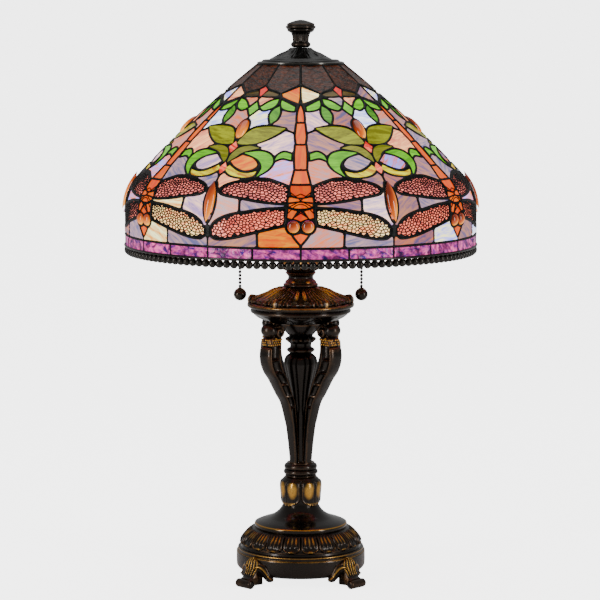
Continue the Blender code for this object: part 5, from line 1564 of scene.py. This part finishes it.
def shellRibs(base):
    # fine upright ribs round a socket shell
    def relief(angle, r, z):
        ribbed = base + 14.5 < z < base + 29.0 and r > 15.5
        return 0.35 * math.cos(math.radians(angle * 36.0)) if ribbed else 0.0, 0.0
    return relief


def buildSockets():
    for name, k in (("left", -1), ("right", 1)):
        x = socketReach * k
        low, high = nodeBox("bulb_glass_" + name)
        z, top, r = low[2], high[2], (high[0] - low[0]) / 2.0
        bulb = [(12.6, z, c), (13.6, z + 6.0), (17.5, z + 18.0), (24.5, z + 32.0), (r - 0.6, z + 44.0),
                (r, z + 54.0), (r * 0.96, z + 63.0),
                (r * 0.8, z + 73.0), (r * 0.5, z + 80.6), (r * 0.2, top - 0.3), (0.0, top, c), (0.0, z, c),
                (12.6, z, c)]
        turnedPiece("bulbGlass_" + name, "bulb_glass_" + name, "bulb_" + name, bulb, 64, 2.0, None, (x, 0.0),
                    slotName="frosted_bulb", finish="bulb", smooth=60.0)
        low, high = nodeBox("socket_shell_" + name)
        z, top, r = low[2], high[2], (high[0] - low[0]) / 2.0
        r0 = 16.5
        shell = [(5.4, z, c), (8.0, z, c), (12.6, z + 1.4), (15.4, z + 6.0), (15.9, z + 10.0, c), (r0, z + 10.6, c),
                 (r0, z + 12.6, c),
                 (15.8, z + 13.2, c), (15.8, z + 30.0, c), (r0, z + 30.8), (r0, z + 32.4), (15.8, z + 33.2, c),
                 (15.9, top - 1.2, c),
                 (r0, top - 0.6), (r0 - 0.3, top, c), (15.2, top, c), (15.2, z + 11.0, c), (5.4, z + 2.0, c),
                 (5.4, z, c)]
        turnedPiece("socketShell_" + name, "socket_shell_" + name, "root", shell, 180, 1.2, shellRibs(z), (x, 0.0),
                    slotName="aged_brass", finish="brass")
    low, high = nodeBox("cluster_body")
    z, top = low[2], high[2]
    body = [(5.4, z, c), (14.0, z, c), (17.0, z + 1.6), (18.6, z + 6.0), (19.0, z + 9.0, c), (18.0, z + 9.6, c),
            (18.0, z + 15.0, c),
            (19.0, z + 15.6, c), (18.0, z + 19.4), (13.0, z + 22.6), (8.6, top, c), (5.4, top, c), (5.4, z, c)]
    turnedPiece("clusterBody", "cluster_body", "root", body, 72, 1.2, None, slotName="aged_brass", finish="brass")


# the CAD solids that stay as they are, by finish
carried = {
    "felt": ["base_cover_plate"],
    "rubber": ["cord_inlet_bush"],
    "steel": ["threaded_pipe", "base_washer", "base_lock_nut"],
    "brass": ["shade_spider", "spider_nut", "socket_arm_left", "socket_arm_right", "pull_guide_left",
              "pull_guide_right", "pull_link_left", "pull_link_right"],
    "nickel": ["screw_shell_left", "screw_shell_right", "bulb_base_left", "bulb_base_right"],
}


def finishCarried():
    for finish, nodes in carried.items():
        for node in nodes:
            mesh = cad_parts[node].data
            mesh.materials.clear()
            mesh.materials.append(finishes[finish])


def opalGlass(name, glow, streak, contrast, ripple, roughness=0.16):
    finish = Finish(name, Emission_Strength=glow, IOR=1.5, Roughness=roughness, Coat_Weight=0.12, Coat_Roughness=0.06,
                    Specular_IOR_Level=0.3)
    grain = finish.attribute("grain", "Vector")
    lay = finish.node("ShaderNodeVectorMath", {"operation": "MULTIPLY"}, {0: grain, 1: streak})
    broad = finish.noise(lay, 1.0, 3.0, 0.55, 0.8)
    fine = finish.noise(lay, 3.4, 4.0, 0.6, 1.6)
    share = finish.span(broad * 0.72 + fine * 0.28, 0.5 - contrast, 0.5 + contrast)
    base = finish.mix(share, finish.attribute("tintA", "Color"), finish.attribute("tintB", "Color"))
    cloud = finish.noise(finish.place(), 26.0, 2.0)
    base = finish.mix(1.0, base, finish.mix(cloud, (0.80, 0.80, 0.82), (1.0, 1.0, 1.0)), "MULTIPLY")
    if ripple:
        waves = finish.noise(finish.place(), ripple[0], 2.0, 0.5, 1.2)
        base = finish.mix(finish.span(waves, 0.42, 0.66), base, finish.mix(1.0, base, ripple[2], "MULTIPLY"))
        finish.set(Normal=finish.bump(waves, 0.9, ripple[1]))
    else:
        waves = finish.noise(finish.place(), 90.0, 2.0)
        finish.set(Normal=finish.bump(waves, 0.25, 0.0006))
    return finish.set(Base_Color=finish.mix(1.0, base, (0.09, 0.09, 0.09), "MULTIPLY"), Emission_Color=base)


def amberGlass():
    # painted light: deep on one side, with a painted glint bright toward its other lower side and at its edges
    finish = Finish("amberGlass", Roughness=0.05, Coat_Weight=0.4, Coat_Roughness=0.02, Emission_Strength=1.0)
    cloud = finish.noise(finish.place(), 60.0, 2.0, 0.5, 0.6)
    facing = finish.node("ShaderNodeLayerWeight", {}, {"Blend": 0.4}, "Facing")
    stops = [(0.0, (0.16, 0.014, 0.0)), (0.25, (0.5, 0.055, 0.0)), (0.5, (0.95, 0.17, 0.0)),
             (0.75, (1.5, 0.42, 0.01)), (1.0, (2.1, 1.0, 0.14))]
    # the painted glint slant and the facing edge brightness pick how lit each point of the glass looks
    along = finish.attribute("heart") * 0.5 + facing * 0.3 + (cloud - 0.5) * 0.3 + 0.3
    colour = finish.node("ShaderNodeValToRGB", {"stops": stops}, {0: along})
    return finish.set(Base_Color=finish.mix(1.0, colour, (0.06, 0.06, 0.06), "MULTIPLY"), Emission_Color=colour)


def solderFinish(name, dark, light, rough):
    finish = Finish(name, Metallic=0.85)
    where = finish.place()
    patch = finish.noise(where, 55.0, 4.0, 0.6)
    speck = finish.noise(where, 420.0, 3.0, 0.6)
    share = finish.span(patch * 0.7 + speck * 0.3, 0.36, 0.66)
    finish.set(Base_Color=finish.mix(share, dark, light),
               Roughness=finish.span(speck, 0.3, 0.7, rough - 0.1, rough + 0.12))
    return finish.set(Normal=finish.bump(patch + speck * 0.35, 0.5, 0.0007))


def bronzeFinish(name, dark, worn, gold, rough=0.3, metal=0.9):
    # near-black bronze, rubbed brown on its edges, with gilding worn from the high places
    finish = Finish(name, Metallic=metal, Coat_Weight=0.25, Coat_Roughness=0.12)
    where = finish.place()
    patch = finish.noise(where, 34.0, 4.0, 0.62, 0.6)
    speck = finish.noise(where, 260.0, 4.0, 0.65)
    rubbed = finish.span(finish.attribute("wear") * 4.0 + (patch - 0.5) * 1.2 + (speck - 0.5) * 0.6, 0.3, 1.1)
    base = finish.mix(rubbed * 0.75, finish.mix(patch, dark, tuple(k * 1.8 for k in dark)), worn)
    bright = finish.span(finish.attribute("gilt") * 1.1 + (patch - 0.5) * 0.6 + (speck - 0.5) * 0.3, 0.34, 0.95)
    base = finish.mix(bright, base, finish.mix(speck, gold, tuple(k * 0.66 for k in gold)))
    finish.set(Base_Color=base, Roughness=finish.span(speck * 0.6 + patch * 0.4, 0.3, 0.7, rough - 0.1, rough + 0.14))
    return finish.set(Normal=finish.bump(speck * 0.4 + patch * 0.6, 0.32, 0.0006))


def plainMetal(name, colour, rough, metal=1.0, grainy=180.0):
    finish = Finish(name, Metallic=metal)
    where = finish.place()
    speck = finish.noise(where, grainy, 4.0, 0.6)
    cloud = finish.noise(where, 40.0, 3.0)
    base = finish.mix(cloud, colour, tuple(k * 0.7 for k in colour))
    finish.set(Base_Color=finish.mix(finish.span(speck, 0.62, 0.75), base, tuple(k * 0.5 for k in colour)))
    finish.set(Roughness=finish.span(speck, 0.3, 0.7, rough - 0.07, rough + 0.1))
    return finish.set(Normal=finish.bump(speck, 0.2, 0.0004))


def bulbFinish():
    # frosted glass lit from inside, brightest in its middle
    finish = Finish("frostedBulb", Roughness=0.5, Coat_Weight=0.3)
    facing = finish.node("ShaderNodeLayerWeight", {}, {"Blend": 0.4}, "Facing")
    cloud = finish.noise(finish.place(), 30.0)
    glow = finish.mix(facing + (cloud - 0.5) * 0.1, (1.0, 0.86, 0.62), (0.9, 0.62, 0.36))
    return finish.set(Base_Color=glow, Emission_Color=glow, Emission_Strength=2.2)


finishes = {
    "opal": opalGlass("opalGlass", 1.6, (0.04, 0.2, 0.6), 0.1, None),
    "ripple": opalGlass("rippleGlass", 0.45, (0.1, 0.34, 0.6), 0.1, (190.0, 0.0016, (0.3, 0.26, 0.26)), 0.26),
    "rim": opalGlass("rimGlass", 1.4, (0.09, 0.2, 0.6), 0.12, (105.0, 0.0012, (0.16, 0.1, 0.2)), 0.14),
    "amber": amberGlass(),
    "solder": solderFinish("solderPatina", tone(12, 13, 13), tone(38, 40, 39), 0.44),
    "filigree": solderFinish("filigreePatina", tone(11, 9, 9), tone(26, 22, 22), 0.5),
    "bronze": bronzeFinish("antiqueBronze", (0.0115, 0.0082, 0.006), (0.12, 0.06, 0.026), (0.62, 0.32, 0.052), 0.27),
    "polished": bronzeFinish("polishedBronze", (0.012, 0.009, 0.0068), (0.08, 0.045, 0.02), (0.62, 0.32, 0.052),
                             0.16),
    "cap": bronzeFinish("capBronze", (0.014, 0.0135, 0.013), (0.07, 0.065, 0.055), (0.3, 0.22, 0.1), 0.2),
    "beadLead": bronzeFinish("beadPatina", (0.011, 0.010, 0.009), (0.03, 0.025, 0.02), (0.3, 0.2, 0.1), 0.26),
    "ball": bronzeFinish("pullBallBronze", (0.012, 0.009, 0.006), (0.12, 0.07, 0.03), (0.6, 0.4, 0.15), 0.22),
    "brass": plainMetal("agedBrass", (0.42, 0.28, 0.11), 0.34),
    "nickel": plainMetal("nickelShell", (0.6, 0.57, 0.52), 0.26),
    "steel": plainMetal("zincSteel", (0.5, 0.5, 0.5), 0.36),
    "rubber": plainMetal("blackRubber", (0.02, 0.02, 0.02), 0.62, 0.0),
    "felt": plainMetal("baseFelt", (0.03, 0.05, 0.035), 0.95, 0.0, 900.0),
    "bulb": bulbFinish(),
}

buildStage()
print("stage set")
panes = drawPanes()
print("panes drawn", len(panes))
buildSolder(panes)
buildGlass(panes)
buildJewels()
buildFiligree(panes)
print("shade made")
buildTurnings()
buildArms()
buildFeet()
buildFringe()
buildPulls()
buildSockets()
finishCarried()
print("metalwork made")
